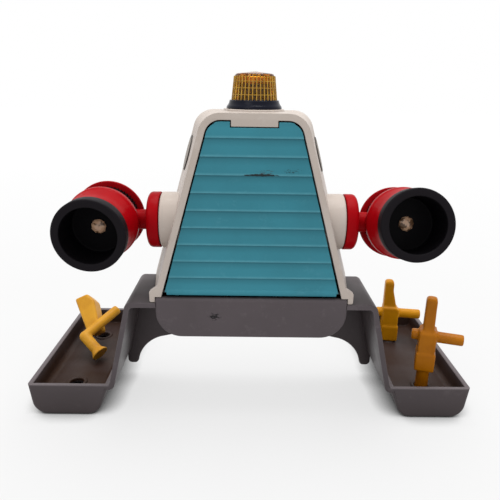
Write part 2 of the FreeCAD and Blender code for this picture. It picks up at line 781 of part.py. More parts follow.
def beacon():
    """Black flared collar with a core, under a hollow amber cap; both stand on the roof pad."""
    seat = Vector(0, size("beacon_back - cabin_front"), size("tub_top + cabin_height + beacon_pad_rise"))
    zero = "0 * collar_rise"
    collar = new_body("beacon_collar")
    points = [
        (zero, zero),
        ("collar_radius", zero),
        ("collar_top_radius", "collar_rise"),
        ("core_radius", "collar_rise"),
        ("core_radius", "collar_rise + core_rise"),
        (zero, "collar_rise + core_rise"),
    ]
    revolve(collar, outline(collar, "XZ_Plane", zero, points), "V_Axis")
    collar.Placement = Placement(seat, Rotation())
    NODES[collar.Label] = collar

    lens = new_body("beacon_lens")
    top = "collar_rise + lens_rise"
    points = [
        ("lens_radius - lens_wall", "collar_rise"),
        ("lens_radius", "collar_rise"),
        ("lens_top_radius", top + " - lens_shoulder"),
        ("lens_top_radius - lens_shoulder", top + " - lens_crown"),
        (zero, top),
        (zero, top + " - lens_wall"),
        ("lens_top_radius - lens_wall - lens_shoulder", top + " - lens_crown - lens_wall"),
        ("lens_top_radius - lens_wall", top + " - lens_shoulder - lens_wall"),
    ]
    revolve(lens, outline(lens, "XZ_Plane", zero, points), "V_Axis")
    lens.Placement = Placement(seat, Rotation())
    NODES[lens.Label] = lens
    doc.recompute()


def lamp_pod(name, side, tilt):
    """One swivel lamp: housing with arm and disc, rear cap, cup, jewel, pin and washer."""
    zero = "0 * pod_x"
    pose = Placement(Vector(side * size("pod_x"), -size("pivot_y"), size("pivot_z")),
                     Rotation(Vector(1, 0, 0), -size(tilt)))
    rim_back = "rim_length - muzzle_reach"
    floor_front = "cup_depth - muzzle_reach"
    floor_back = "cup_depth + cup_floor - muzzle_reach"
    bore = "cup_radius + cup_wall + seat_gap"

    housing = new_body(name + "_lamp_housing")
    points = [
        (zero, floor_back + " + seat_gap"),
        (bore, floor_back + " + seat_gap"),
        (bore, rim_back),
        ("barrel_radius", rim_back),
        ("lip_radius", "-lip_front"),
        ("lip_radius", "lip_length - lip_front"),
        ("groove_radius", "lip_length - lip_front"),
        ("groove_radius", "groove_rear"),
        ("cap_spigot_radius + seat_gap", "groove_rear"),
        ("cap_spigot_radius + seat_gap", "groove_rear - cap_spigot_length - seat_gap"),
        (zero, "groove_rear - cap_spigot_length - seat_gap"),
    ]
    revolve(housing, outline(housing, "XY_Plane", zero, points), "V_Axis")
    inward = -side
    disc_face = "%d * (pod_x - boss_face - disc_gap)" % inward
    disc_back = "%d * (pod_x - boss_face - disc_gap - disc_thick)" % inward
    buried = "%d * (groove_radius - stub_sink)" % inward
    points = [
        (buried, zero),
        (disc_face, zero),
        (disc_face, "disc_radius"),
        (disc_back, "disc_radius"),
        (disc_back, "stub_radius"),
        (buried, "stub_radius"),
    ]
    revolve(housing, outline(housing, "XY_Plane", zero, points), "H_Axis")
    round_edges(housing, "disc_round",
                lambda at, edge: near(at.x, disc_back) and abs(Vector(0, at.y, at.z).Length
                                                               - size("disc_radius")) < 0.02)
    hole = circle(housing, "YZ_Plane", disc_face, zero, zero, "pin_radius")
    extrude(housing, "Pocket", hole, "disc_thick", reverse=inward < 0)

    cap = new_body(name + "_lamp_rear_cap")
    points = [
        (zero, "groove_rear - cap_spigot_length"),
        ("cap_spigot_radius", "groove_rear - cap_spigot_length"),
        ("cap_spigot_radius", "groove_rear"),
        ("cap_radius", "groove_rear"),
        ("cap_radius", "groove_rear + cap_thick / 2"),
        (zero, "groove_rear + cap_thick"),
    ]
    revolve(cap, outline(cap, "XY_Plane", zero, points), "V_Axis")

    cup = new_body(name + "_lamp_cup")
    points = [
        ("jewel_stem_radius", floor_front),
        ("cup_radius", floor_front),
        ("cup_radius", "-muzzle_reach"),
        ("rim_radius", "-muzzle_reach"),
        ("rim_radius", rim_back),
        ("cup_radius + cup_wall", rim_back),
        ("cup_radius + cup_wall", floor_back),
        ("jewel_stem_radius", floor_back),
    ]
    revolve(cup, outline(cup, "XY_Plane", zero, points), "V_Axis")

    jewel = new_body(name + "_lamp_lens")
    points = [
        (zero, floor_back),
        ("jewel_stem_radius", floor_back),
        ("jewel_stem_radius", floor_front),
        ("jewel_radius", floor_front),
        ("jewel_radius", floor_front + " - jewel_girdle"),
        ("jewel_table", floor_front + " - jewel_rise + jewel_crown"),
        (zero, floor_front + " - jewel_rise"),
    ]
    revolve(jewel, outline(jewel, "XY_Plane", zero, points), "V_Axis")

    for piece in (housing, cap, cup, jewel):
        piece.Placement = pose
        NODES[piece.Label] = piece

    pivot = Vector(0, -size("pivot_y"), size("pivot_z"))
    outer = Vector(side * size("boss_face + disc_gap + disc_thick"), 0, 0)
    length = "disc_thick + disc_gap + boss_depth + disc_gap + washer_thick"
    pin_label = name + "_pivot_pin"
    NODES[pin_label] = cylinder(pin_label, "pin_radius", length, pivot + outer, Vector(-side, 0, 0))
    washer_label = name + "_pivot_washer"
    inner = Vector(side * size("boss_face - boss_depth - disc_gap"), 0, 0)
    plate = cylinder(name + "_washer_plate", "washer_radius", "washer_thick",
                     pivot + inner, Vector(-side, 0, 0))
    eye = cylinder(name + "_washer_eye", "pin_radius", "washer_thick", pivot + inner, Vector(-side, 0, 0))
    NODES[washer_label] = combine("Cut", washer_label, plate, eye)
    doc.recompute()


def peg_tool(label, post_below, base, turn, rod_across):
    """Plug-in tool: post, stepped block, upright lever on a sloping web, and a cross rod.

    The rod runs across the block, or from its back to its brow.
    """
    zero = "0 * block_half"
    body = new_body(label)
    front = "-block_depth / 2"
    rear = "block_depth / 2"
    points = [
        (front, zero),
        (rear, zero),
        (rear, "block_height"),
        (front + " + block_chamfer", "block_height"),
        (front, "block_height - block_chamfer"),
    ]
    block = outline(body, "YZ_Plane", zero, points)
    extrude(body, "Pad", block, "2 * block_half", both_ways=True)
    step = outline(body, "XY_Plane", zero, rectangle(
        "-(block_half + block_step_width)", "block_half + block_step_width",
        front + " - block_step_width", rear))
    extrude(body, "Pad", step, "block_step")
    lever_front = rear + " - lever_depth"
    lever_top = "block_height + lever_height"
    points = [
        (front + " + block_chamfer", "block_height"),
        (rear, "block_height"),
        (rear, lever_top),
        (lever_front, lever_top),
        (lever_front, "block_height + web_height"),
    ]
    lever = outline(body, "YZ_Plane", zero, points)
    extrude(body, "Pad", lever, "2 * lever_half", both_ways=True)
    round_edges(body, "lever_round", lambda at, edge: near(at.z, lever_top))
    if rod_across:
        rod = circle(body, "YZ_Plane", "-(block_half + rod_left)", "rod_radius / 2", "rod_up", "rod_radius")
        extrude(body, "Pad", rod, "2 * block_half + rod_left + rod_right")
    else:
        rod = circle(body, "XZ_Plane", "-(block_depth / 2 + rod_left)", zero, "rod_up", "rod_radius")
        extrude(body, "Pad", rod, "block_depth + rod_left + rod_right")
    post = circle(body, "XY_Plane", zero, zero, zero, "post_radius")
    extrude(body, "Pad", post, post_below, reverse=True)
    body.Placement = Placement(base, Rotation(Vector(0, 0, 1), turn))
    NODES[label] = body


def lying_point(name):
    """A named point of the loose tool in the left tray."""
    return Vector(size("lie_%s_in - tray_outer" % name), size("lie_%s_y" % name),
                  size("tray_floor_top + lie_%s_up" % name))


def rod_between(label, start, end, radius):
    along = end - start
    rod = cylinder(label, radius, "%r mm" % along.Length, start, along)
    return rod


def loose_tool():
    """Tool of the same family lying in the left tray: block, straight rod, bent arm and flared foot."""
    foot = lying_point("foot")
    elbow = lying_point("elbow")
    head = lying_point("head")
    heel = lying_point("block")
    down = (foot - elbow).normalize()
    arm = rod_between("loose_arm", elbow, foot, "arm_radius")
    rod = rod_between("loose_rod", elbow, lying_point("rod"), "loose_rod_radius")
    flare = doc.addObject("Part::Cone", "loose_foot")
    for name, expression in (("Radius1", "arm_radius"), ("Radius2", "foot_radius"), ("Height", "foot_flare")):
        setattr(flare, name, size(expression))
        flare.setExpression(name, bind(expression))
    flare.Placement = Placement(foot - down * size("foot_flare"), Rotation(Vector(0, 0, 1), down))
    knee = doc.addObject("Part::Sphere", "loose_knee")
    knee.Radius = size("arm_radius")
    knee.setExpression("Radius", bind("arm_radius"))
    knee.Placement = Placement(elbow, Rotation())

    block = new_body("loose_block")
    zero = "0 * head_half"
    length = "%r" % (head - heel).Length
    points = [
        ("head_taper - head_half", zero),
        ("head_half - head_taper", zero),
        ("head_half", length + " - head_brow"),
        ("head_half - head_brow / 2", length),
        ("-head_half", length),
    ]
    side = outline(block, "XZ_Plane", "-head_depth / 2", points)
    extrude(block, "Pad", side, "head_depth")
    round_edges(block, "tool_round", lambda at, edge: True)
    block.Placement = Placement(heel, Rotation(Vector(0, 0, 1), head - heel))
    piece = arm
    for other in (rod, flare, knee, block):
        piece = combine("Fuse", "loose_join", piece, other)
    piece.Label = "loose_tool"
    lift = size("tray_floor_top + lie_gap") - piece.Shape.optimalBoundingBox().ZMin
    piece.Placement = Placement(Vector(0, 0, lift), Rotation())
    NODES[piece.Label] = piece


def tools():
    floor = size("tray_floor_top")
    front_seat = Vector(size(SOCKET_X), -size("socket_front_y"), floor + size("post_shown"))
    rear_seat = Vector(size(rear_socket_x(1)), size("socket_rear_y"), floor + size("socket_ring_rise"))
    peg_tool("front_peg_tool", "post_shown + post_plugged", front_seat, size("front_tool_turn"), True)
    peg_tool("rear_peg_tool", "post_plugged + socket_ring_rise", rear_seat, size("rear_tool_turn"), False)
    loose_tool()


def write_parts():
    doc.recompute()
    for item in doc.Objects:
        if "Invalid" in item.State or "Error" in item.State:
            raise RuntimeError(item.Label + " did not compute")
    for label, piece in NODES.items():
        shape = piece.Shape
        if shape.isNull() or not shape.isValid() or not shape.Solids:
            raise RuntimeError(label + " has no valid solid")
    os.makedirs("parts", exist_ok=True)
    whole = FreeCAD.BoundBox()
    for label, piece in NODES.items():
        piece.Shape.exportStep("parts/%s.step" % label)
        whole.add(piece.Shape.BoundBox)
    print("nodes", len(NODES), "box", whole)


hull_tub()
outrigger("left_outrigger", -1)
outrigger("right_outrigger", 1)
rear_bulkhead()
cabin_shell()
ramp_door()
beacon()
lamp_pod("left", -1, "left_tilt")
lamp_pod("right", 1, "right_tilt")
tools()
write_parts()
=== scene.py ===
import math

import bmesh
import bpy
from mathutils import Matrix, Vector
from mathutils.geometry import area_tri


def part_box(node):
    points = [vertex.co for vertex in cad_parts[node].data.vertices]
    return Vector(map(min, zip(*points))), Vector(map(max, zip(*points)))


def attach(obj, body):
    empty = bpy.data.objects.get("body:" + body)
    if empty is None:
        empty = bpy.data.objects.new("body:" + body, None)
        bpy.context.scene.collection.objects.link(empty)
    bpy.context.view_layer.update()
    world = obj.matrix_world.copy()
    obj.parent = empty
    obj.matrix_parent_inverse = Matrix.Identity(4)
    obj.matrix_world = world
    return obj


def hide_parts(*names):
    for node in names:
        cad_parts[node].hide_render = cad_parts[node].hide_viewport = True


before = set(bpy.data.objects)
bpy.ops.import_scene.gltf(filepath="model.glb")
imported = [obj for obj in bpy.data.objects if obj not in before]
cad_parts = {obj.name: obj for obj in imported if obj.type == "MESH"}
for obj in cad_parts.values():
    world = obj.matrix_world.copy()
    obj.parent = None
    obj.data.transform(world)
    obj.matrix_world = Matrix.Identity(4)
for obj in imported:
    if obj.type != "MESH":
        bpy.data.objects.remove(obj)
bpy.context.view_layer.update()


# Hull: the pan under the cabin, two outriggers with their decks, legs and trays, and an arched plate
# across the back. They are injection-moulded in one warm grey plastic, with thin walls and rounded
# lips, and carry the dull sheen, pale rubs and fine scratches of years of handling. Painted shade
# darkens their nooks, a painted highlight runs along the tray rims, and they grow darker towards the feet.
MM = 0.001
GRID = 0.002 * MM
HARD_ANGLE = math.radians(31)
FOLD_ANGLE = math.radians(140)
STRAIGHT_ANGLE = math.radians(150)
FLAT_ANGLE = math.radians(0.6)
SMOOTH_ANGLE = 38
TORN_AREA = 0.05 * MM * MM
MERGE_DISTANCE = 0.004 * MM
ROUND_SHARES = (1.0, 0.7, 0.45, 0.25, 0.12)
ROUND_STEPS = 4
ROOM_SHARE = 1.15
SPARED_REACHES = (3, 5, 7)
HULL_LIP_ROUND = 0.7 * MM
HULL_GREY = (0.075, 0.062, 0.067, 1)
HULL_PALE = (0.185, 0.160, 0.167, 1)
HULL_DEEP = (0.058, 0.048, 0.051, 1)
TRAY_GRIME = (0.025, 0.0110, 0.0062, 1)
FOOT_DARKENING = (0.044, 0.034, 0.035, 1)
NOOK_PAINTED_SHADE = (0.026, 0.019, 0.019, 1)


def is_hard(edge):
    return len(edge.link_faces) == 2 and edge.calc_face_angle(0) > HARD_ANGLE


def middle_of(edge):
    return (edge.verts[0].co + edge.verts[1].co) / 2


def edge_key(edge):
    """An edge's middle on a fine grid, which finds it again in a copy of its mesh."""
    return tuple(round(part / GRID) for part in middle_of(edge))


def is_tight(edge, vert, hard, room):
    """Whether the rounding of an edge has no room at one end: a short edge meets it there at a corner."""
    away = edge.other_vert(vert).co - vert.co
    for other in vert.link_edges:
        if other is not edge and other.calc_length() < room:
            if other not in hard or away.angle(other.other_vert(vert).co - vert.co, 0) < STRAIGHT_ANGLE:
                return True
    return False


def hard_runs(mesh, offset):
    """Runs of connected hard edges that have room for the rounding."""
    hard = {edge for edge in mesh.edges if is_hard(edge)}
    room = ROOM_SHARE * offset
    free = [edge for edge in mesh.edges
            if edge in hard and not any(is_tight(edge, vert, hard, room) for vert in edge.verts)]
    waiting = set(free)
    runs = []
    for start in free:
        if start not in waiting:
            continue
        waiting.discard(start)
        run = [start]
        for edge in run:
            for vert in edge.verts:
                for other in vert.link_edges:
                    if other in waiting:
                        waiting.discard(other)
                        run.append(other)
        runs.append([edge_key(edge) for edge in run])
    return runs


def folds(mesh):
    return [middle_of(edge) for edge in mesh.edges
            if len(edge.link_faces) == 2 and edge.calc_face_angle(0) > FOLD_ANGLE]


def overlap(mesh):
    """Area by which faces that overlap themselves cover more than their outlines do."""
    outlines = sum(face.calc_area() for face in mesh.faces)
    triangles = sum(area_tri(*(loop.vert.co for loop in corner)) for corner in mesh.calc_loop_triangles())
    return triangles - outlines


def round_run(mesh, run, offset):
    """Round one run of edges; where that would fold the skin, leave out the edges nearby."""
    known = len(folds(mesh))
    most_overlap = overlap(mesh) + TORN_AREA
    for reach in SPARED_REACHES:
        trial = mesh.copy()
        found = {edge_key(edge): edge for edge in trial.edges}
        bmesh.ops.bevel(trial, geom=[found[key] for key in dict.fromkeys(run) if key in found],
                        offset=offset, offset_type="OFFSET", segments=ROUND_STEPS, profile=0.5,
                        affect="EDGES", clamp_overlap=False, material=-1)
        folded = folds(trial)
        if len(folded) <= known and overlap(trial) < most_overlap:
            mesh.free()
            return trial
        trial.free()
        run = [key for key in run
               if all((Vector(key) * GRID - place).length > reach * offset for place in folded)]
        if len(folded) <= known or not run:
            break
    return mesh


def moulded_copy(name, node, lip):
    """A copy of a solid with its hard edges rounded off as a mould would leave them."""
    mesh = bmesh.new()
    mesh.from_mesh(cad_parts[node].data)
    bmesh.ops.remove_doubles(mesh, verts=mesh.verts, dist=MERGE_DISTANCE)
    bmesh.ops.dissolve_limit(mesh, angle_limit=FLAT_ANGLE, verts=mesh.verts, edges=mesh.edges)
    for share in ROUND_SHARES:
        for run in hard_runs(mesh, lip * share):
            mesh = round_run(mesh, run, lip * share)
    return finished_piece(name, mesh)


def finished_piece(name, mesh, smooth_angle=SMOOTH_ANGLE):
    """Turn a bmesh into a smooth-shaded object that stands at the origin."""
    data = bpy.data.meshes.new(name)
    mesh.to_mesh(data)
    mesh.free()
    data.shade_smooth()
    data.set_sharp_from_angle(angle=math.radians(smooth_angle))
    piece = bpy.data.objects.new(name, data)
    bpy.context.scene.collection.objects.link(piece)
    return piece


def dress(piece, body, slot, material, *nodes):
    """Give a piece its material, its body and the nodes that it stands for."""
    piece.data.materials.clear()
    piece.data.materials.append(material)
    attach(piece, body)
    if nodes:
        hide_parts(*nodes)


def link_nodes(tree, *pairs):
    for source, target in pairs:
        tree.links.new(source, target)


def new_node(tree, kind, **inputs):
    """A shader node with some of its inputs set; an underscore in a name stands for a space."""
    node = tree.nodes.new(kind)
    for name, value in inputs.items():
        node.inputs[name.replace("_", " ")].default_value = value
    return node


def noise(tree, coordinates, scale, detail=3.0, roughness=0.55):
    node = new_node(tree, "ShaderNodeTexNoise", Scale=scale, Detail=detail, Roughness=roughness)
    link_nodes(tree, (coordinates, node.inputs["Vector"]))
    return node.outputs["Fac"]


def spread(tree, value, low, high, to_low=0.0, to_high=1.0):
    """Stretch a value's range between low and high to a new range, and clamp it."""
    node = new_node(tree, "ShaderNodeMapRange", From_Min=low, From_Max=high,
                    To_Min=to_low, To_Max=to_high)
    link_nodes(tree, (value, node.inputs["Value"]))
    return node.outputs["Result"]


def combine(tree, operation, first, second):
    node = tree.nodes.new("ShaderNodeMath")
    node.operation = operation
    for index, value in enumerate((first, second)):
        if isinstance(value, (int, float)):
            node.inputs[index].default_value = value
        else:
            link_nodes(tree, (value, node.inputs[index]))
    return node.outputs["Value"]


def blend_colour(tree, mask, first, second):
    node = tree.nodes.new("ShaderNodeMix")
    node.data_type = "RGBA"
    inputs = {item.name: item for item in node.inputs if item.type == "RGBA"}
    for socket, value in ((node.inputs["Factor"], mask), (inputs["A"], first), (inputs["B"], second)):
        if isinstance(value, (tuple, float, int)):
            socket.default_value = value
        else:
            link_nodes(tree, (value, socket))
    return next(item for item in node.outputs if item.type == "RGBA")


SCRATCH_TURNS = ((0.5, 0.2, 0.9), (-0.7, 0.9, 0.3))
SCRATCH_STRETCH = (1.0, 0.06, 1.0)
SCRATCH_SCALE = 1500
PATCH_SCALE = 70
RUB_SCALE = 160
SMEAR_SCALE = 45
GRAIN_SCALE = 2600
GRAIN_HEIGHT = 0.35
WORN_ROUGHER = 0.15


def aged_plastic_group():
    """Moulded plastic that has been handled: blotches, rubbed scratches, grime and a fine grain."""
    group = bpy.data.node_groups.new("aged_plastic", "ShaderNodeTree")
    for name in ("Colour", "Rubbed colour", "Shaded colour"):
        group.interface.new_socket(name=name, in_out="INPUT", socket_type="NodeSocketColor")
    for name in ("Blotch scale", "Wear", "Roughness"):
        group.interface.new_socket(name=name, in_out="INPUT", socket_type="NodeSocketFloat")
    group.interface.new_socket(name="Colour", in_out="OUTPUT", socket_type="NodeSocketColor")
    for name in ("Roughness", "Height"):
        group.interface.new_socket(name=name, in_out="OUTPUT", socket_type="NodeSocketFloat")
    given = group.nodes.new("NodeGroupInput")
    result = group.nodes.new("NodeGroupOutput")
    place = group.nodes.new("ShaderNodeTexCoord").outputs["Object"]

    blotch = new_node(group, "ShaderNodeTexNoise", Detail=4.0, Roughness=0.6)
    link_nodes(group, (place, blotch.inputs["Vector"]),
               (given.outputs["Blotch scale"], blotch.inputs["Scale"]))
    shade = spread(group, blotch.outputs["Fac"], 0.38, 0.68, 0.0, 0.75)
    colour = blend_colour(group, shade, given.outputs["Colour"], given.outputs["Shaded colour"])

    scratches = []
    for turn in SCRATCH_TURNS:
        lay = new_node(group, "ShaderNodeMapping", Rotation=turn, Scale=SCRATCH_STRETCH)
        link_nodes(group, (place, lay.inputs["Vector"]))
        lines = noise(group, lay.outputs["Vector"], SCRATCH_SCALE, 2.0)
        scratches.append(spread(group, lines, 0.665, 0.72))
    scratch = combine(group, "MAXIMUM", *scratches)
    patch = spread(group, noise(group, place, PATCH_SCALE, 3.0), 0.50, 0.66)
    scratch = combine(group, "MULTIPLY", scratch, patch)
    rub = spread(group, noise(group, place, RUB_SCALE, 5.0, 0.7), 0.58, 0.74)
    worn = combine(group, "MULTIPLY", combine(group, "MAXIMUM", scratch, rub), given.outputs["Wear"])
    colour = blend_colour(group, worn, colour, given.outputs["Rubbed colour"])

    smear = spread(group, noise(group, place, SMEAR_SCALE, 4.0), 0.3, 0.7, -0.09, 0.11)
    rough = combine(group, "ADD", combine(group, "ADD", given.outputs["Roughness"], smear),
                    combine(group, "MULTIPLY", worn, WORN_ROUGHER))
    grain = noise(group, place, GRAIN_SCALE, 2.0)
    height = combine(group, "SUBTRACT", combine(group, "MULTIPLY", grain, GRAIN_HEIGHT),
                     combine(group, "MULTIPLY", scratch, given.outputs["Wear"]))
    link_nodes(group, (colour, result.inputs["Colour"]), (rough, result.inputs["Roughness"]),
               (height, result.inputs["Height"]))
    return group


AGED_PLASTIC = aged_plastic_group()
BUMP_STRENGTH = 0.06
BUMP_HEIGHT = 0.4 * MM
EDGE_SAMPLES = 4
EDGE_TURNED = 0.80
EDGE_FLAT = 0.97


def plastic(name, colour, rubbed, shaded, blotch=28.0, wear=0.4, roughness=0.42, gloss=0.3,
            edge=0.5 * MM, edge_wear_and_highlight=0.6):
    """A moulded plastic whose edges are soft to the light and painted paler, partly as edge wear and
    partly as a painted highlight.
    """
    material = bpy.data.materials.new(name)
    material.use_nodes = True
    tree = material.node_tree
    shader = tree.nodes["Principled BSDF"]
    aged = tree.nodes.new("ShaderNodeGroup")
    aged.node_tree = AGED_PLASTIC
    for label, value in (("Colour", colour), ("Rubbed colour", rubbed), ("Shaded colour", shaded),
                         ("Blotch scale", blotch), ("Wear", wear), ("Roughness", roughness)):
        aged.inputs[label].default_value = value
    bumps = new_node(tree, "ShaderNodeBump", Strength=BUMP_STRENGTH, Distance=BUMP_HEIGHT)
    soft_edge = new_node(tree, "ShaderNodeBevel", Radius=edge)
    soft_edge.samples = EDGE_SAMPLES
    facing = tree.nodes.new("ShaderNodeVectorMath")
    facing.operation = "DOT_PRODUCT"
    shape = tree.nodes.new("ShaderNodeNewGeometry")
    link_nodes(tree, (soft_edge.outputs["Normal"], facing.inputs[0]),
               (shape.outputs["Normal"], facing.inputs[1]),
               (soft_edge.outputs["Normal"], bumps.inputs["Normal"]))
    # Edges are painted paler: partly wear, partly a painted highlight along them.
    on_edge = spread(tree, facing.outputs["Value"], EDGE_TURNED, EDGE_FLAT, edge_wear_and_highlight, 0.0)
    edged = blend_colour(tree, on_edge, aged.outputs["Colour"], rubbed)
    link_nodes(tree, (edged, shader.inputs["Base Color"]),
               (aged.outputs["Roughness"], shader.inputs["Roughness"]),
               (aged.outputs["Height"], bumps.inputs["Height"]),
               (bumps.outputs["Normal"], shader.inputs["Normal"]))
    shader.inputs["Specular IOR Level"].default_value = gloss
    return material


def lay_over(material, mask, colour):
    """Blend a colour over the material's own, where the mask is."""
    tree = material.node_tree
    shader = tree.nodes["Principled BSDF"]
    under = shader.inputs["Base Color"].links[0].from_socket
    link_nodes(tree, (blend_colour(tree, mask, under, colour), shader.inputs["Base Color"]))


FLECK_SCALE = 2100
FLECK_STRETCH = (0.30, 1.0, 1.0)
FLECK_TURN = (0.0, 0.10, 0.0)


def mark_group():
    """A scuff in one place: ragged flecks inside an ellipse round a centre."""
    group = bpy.data.node_groups.new("scuff_mark", "ShaderNodeTree")
    for name in ("Centre", "Reach"):
        group.interface.new_socket(name=name, in_out="INPUT", socket_type="NodeSocketVector")
    group.interface.new_socket(name="Density", in_out="INPUT", socket_type="NodeSocketFloat")
    group.interface.new_socket(name="Mask", in_out="OUTPUT", socket_type="NodeSocketFloat")
    given = group.nodes.new("NodeGroupInput")
    result = group.nodes.new("NodeGroupOutput")
    place = group.nodes.new("ShaderNodeTexCoord").outputs["Object"]
    away = group.nodes.new("ShaderNodeVectorMath")
    away.operation = "SUBTRACT"
    scaled = group.nodes.new("ShaderNodeVectorMath")
    scaled.operation = "DIVIDE"
    length = group.nodes.new("ShaderNodeVectorMath")
    length.operation = "LENGTH"
    link_nodes(group, (place, away.inputs[0]), (given.outputs["Centre"], away.inputs[1]),
               (away.outputs["Vector"], scaled.inputs[0]), (given.outputs["Reach"], scaled.inputs[1]),
               (scaled.outputs["Vector"], length.inputs[0]))
    inside = spread(group, length.outputs["Value"], 0.35, 1.0, 1.0, 0.0)
    lay = new_node(group, "ShaderNodeMapping", Scale=FLECK_STRETCH, Rotation=FLECK_TURN)
    link_nodes(group, (place, lay.inputs["Vector"]))
    flecks = noise(group, lay.outputs["Vector"], FLECK_SCALE, 5.0, 0.75)
    filled = combine(group, "MULTIPLY", inside, given.outputs["Density"])
    mask = spread(group, combine(group, "ADD", flecks, filled), 0.63, 0.72)
    mask = combine(group, "MULTIPLY", mask, spread(group, inside, 0.0, 0.15))
    link_nodes(group, (mask, result.inputs["Mask"]))
    return group


SCUFF_MARK = mark_group()


def add_mark(material, centre, reach, density, colour):
    """Lay a scuff of the given colour over the material's own colour."""
    mark = material.node_tree.nodes.new("ShaderNodeGroup")
    mark.node_tree = SCUFF_MARK
    mark.inputs["Centre"].default_value = centre
    mark.inputs["Reach"].default_value = reach
    mark.inputs["Density"].default_value = density
    lay_over(material, mark.outputs["Mask"], colour)


TRAY_RIM = 15.5 * MM
INNER_DRAFT = 0.4
OUTER_DRAFT = 0.116
DUST_INNER = 64.1 * MM
DUST_OUTER = 99.4 * MM
DUST_FRONT = -33.2 * MM
DUST_BACK = 47.6 * MM
DUST_DEPTH = 9.0 * MM
DUST_FULL = 4.0 * MM
DUST_FADE = 0.6 * MM
DUST_SCALE = 60
FOOT_HEIGHT = 24.0 * MM
NOOK_REACH = 45.0 * MM
NOOK_SAMPLES = 8


def add_hull_dirt_and_painted_light(material):
    """Darken the hull towards its feet, paint shade into its nooks, dust the trays and paint a highlight
    along their rims.
    """
    tree = material.node_tree
    place = tree.nodes.new("ShaderNodeTexCoord").outputs["Object"]
    axes = tree.nodes.new("ShaderNodeSeparateXYZ")
    link_nodes(tree, (place, axes.inputs["Vector"]))
    along, height = axes.outputs["Y"], axes.outputs["Z"]
    across = combine(tree, "ABSOLUTE", axes.outputs["X"], 0.0)
    depth = combine(tree, "SUBTRACT", TRAY_RIM, height)
    from_inner = combine(tree, "SUBTRACT", across, combine(tree, "MULTIPLY", depth, INNER_DRAFT))
    from_outer = combine(tree, "ADD", across, combine(tree, "MULTIPLY", depth, OUTER_DRAFT))
    inside = [spread(tree, from_inner, DUST_INNER, DUST_INNER + DUST_FADE),
              spread(tree, from_outer, DUST_OUTER - DUST_FADE, DUST_OUTER, 1.0, 0.0),
              spread(tree, along, DUST_FRONT, DUST_FRONT + DUST_FADE),
              spread(tree, along, DUST_BACK - DUST_FADE, DUST_BACK, 1.0, 0.0),
              spread(tree, depth, 0.0, DUST_FULL, 0.1, 1.0),
              spread(tree, depth, DUST_DEPTH, DUST_DEPTH + DUST_FADE, 1.0, 0.0)]
    dust = spread(tree, noise(tree, place, DUST_SCALE, 4.0), 0.25, 0.6, 0.55, 1.0)
    for limit in inside:
        dust = combine(tree, "MULTIPLY", dust, limit)
    nook = new_node(tree, "ShaderNodeAmbientOcclusion", Distance=NOOK_REACH)
    nook.samples = NOOK_SAMPLES
    # A painted highlight along the top of each tray rim, standing in for light on a rolled lip.
    rim_highlight = combine(tree, "MULTIPLY", spread(tree, height, TRAY_RIM - 0.6 * MM, TRAY_RIM - 0.2 * MM),
                     spread(tree, height, TRAY_RIM + 0.2 * MM, TRAY_RIM + 0.5 * MM, 0.4, 0.0))
    on_tray = spread(tree, across, DUST_INNER - 1.1 * MM, DUST_INNER - 0.1 * MM)
    # The hull is darker towards the bottom, fading out by FOOT_HEIGHT.
    lay_over(material, spread(tree, height, 0.0, FOOT_HEIGHT, 0.75, 0.0), FOOT_DARKENING)
    # Painted shade: ambient occlusion darkens the nooks under the deck, inside the legs and in corners.
    lay_over(material, spread(tree, nook.outputs["AO"], 0.30, 0.80, 0.75, 0.0), NOOK_PAINTED_SHADE)
    lay_over(material, dust, TRAY_GRIME)
    lay_over(material, combine(tree, "MULTIPLY", rim_highlight, on_tray), HULL_PALE)


hull_grey = plastic("hull_grey", HULL_GREY, HULL_PALE, HULL_DEEP, blotch=24.0, wear=0.24,
                    roughness=0.40, gloss=0.17)
add_hull_dirt_and_painted_light(hull_grey)
PAN_SCUFF = (-0.0158, -0.034, 0.0501)
PAN_SCUFF_REACH = (0.0034, 0.020, 0.0022)
PAN_SCUFF_DENSITY = 0.2
PAN_SCUFF_DARK = (0.008, 0.007, 0.008, 1)
add_mark(hull_grey, PAN_SCUFF, PAN_SCUFF_REACH, PAN_SCUFF_DENSITY, PAN_SCUFF_DARK)
for hull_node in ("hull_tub", "left_outrigger", "right_outrigger", "rear_bulkhead"):
    hull_piece = moulded_copy(hull_node + "_moulding", hull_node, HULL_LIP_ROUND)
    dress(hull_piece, "hull", "hull_grey", hull_grey, hull_node)


# Screws and pins: four pan-head screws hold the arched plate to the pan, a thin rod carries the ramp,
# and each lamp turns on a short pin that a pressed washer keeps in its boss. The rod is blackened steel,
# the rest is bright.
STEEL = (0.55, 0.54, 0.52, 1)
STEEL_TARNISHED = (0.32, 0.29, 0.25, 1)
BLACKENED = (0.035, 0.034, 0.034, 1)
BLACKENED_WORN = (0.020, 0.017, 0.015, 1)
TARNISH_SCALE = 400


def steel_material(name, bright, tarnished):
    material = bpy.data.materials.new(name)
    material.use_nodes = True
    tree = material.node_tree
    shader = tree.nodes["Principled BSDF"]
    shader.inputs["Metallic"].default_value = 1.0
    place = tree.nodes.new("ShaderNodeTexCoord").outputs["Object"]
    tarnish = spread(tree, noise(tree, place, TARNISH_SCALE, 4.0), 0.4, 0.7)
    link_nodes(tree, (blend_colour(tree, tarnish, bright, tarnished), shader.inputs["Base Color"]),
               (spread(tree, tarnish, 0.0, 1.0, 0.25, 0.5), shader.inputs["Roughness"]))
    return material


bright_steel = steel_material("bright_steel", STEEL, STEEL_TARNISHED)
black_steel = steel_material("black_steel", BLACKENED, BLACKENED_WORN)
for steel_node in ("bulkhead_screws", "ramp_hinge_pin", "left_pivot_pin", "right_pivot_pin",
                   "left_pivot_washer", "right_pivot_washer"):
    metal = black_steel if steel_node == "ramp_hinge_pin" else bright_steel
    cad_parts[steel_node].data.materials.clear()
    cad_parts[steel_node].data.materials.append(metal)


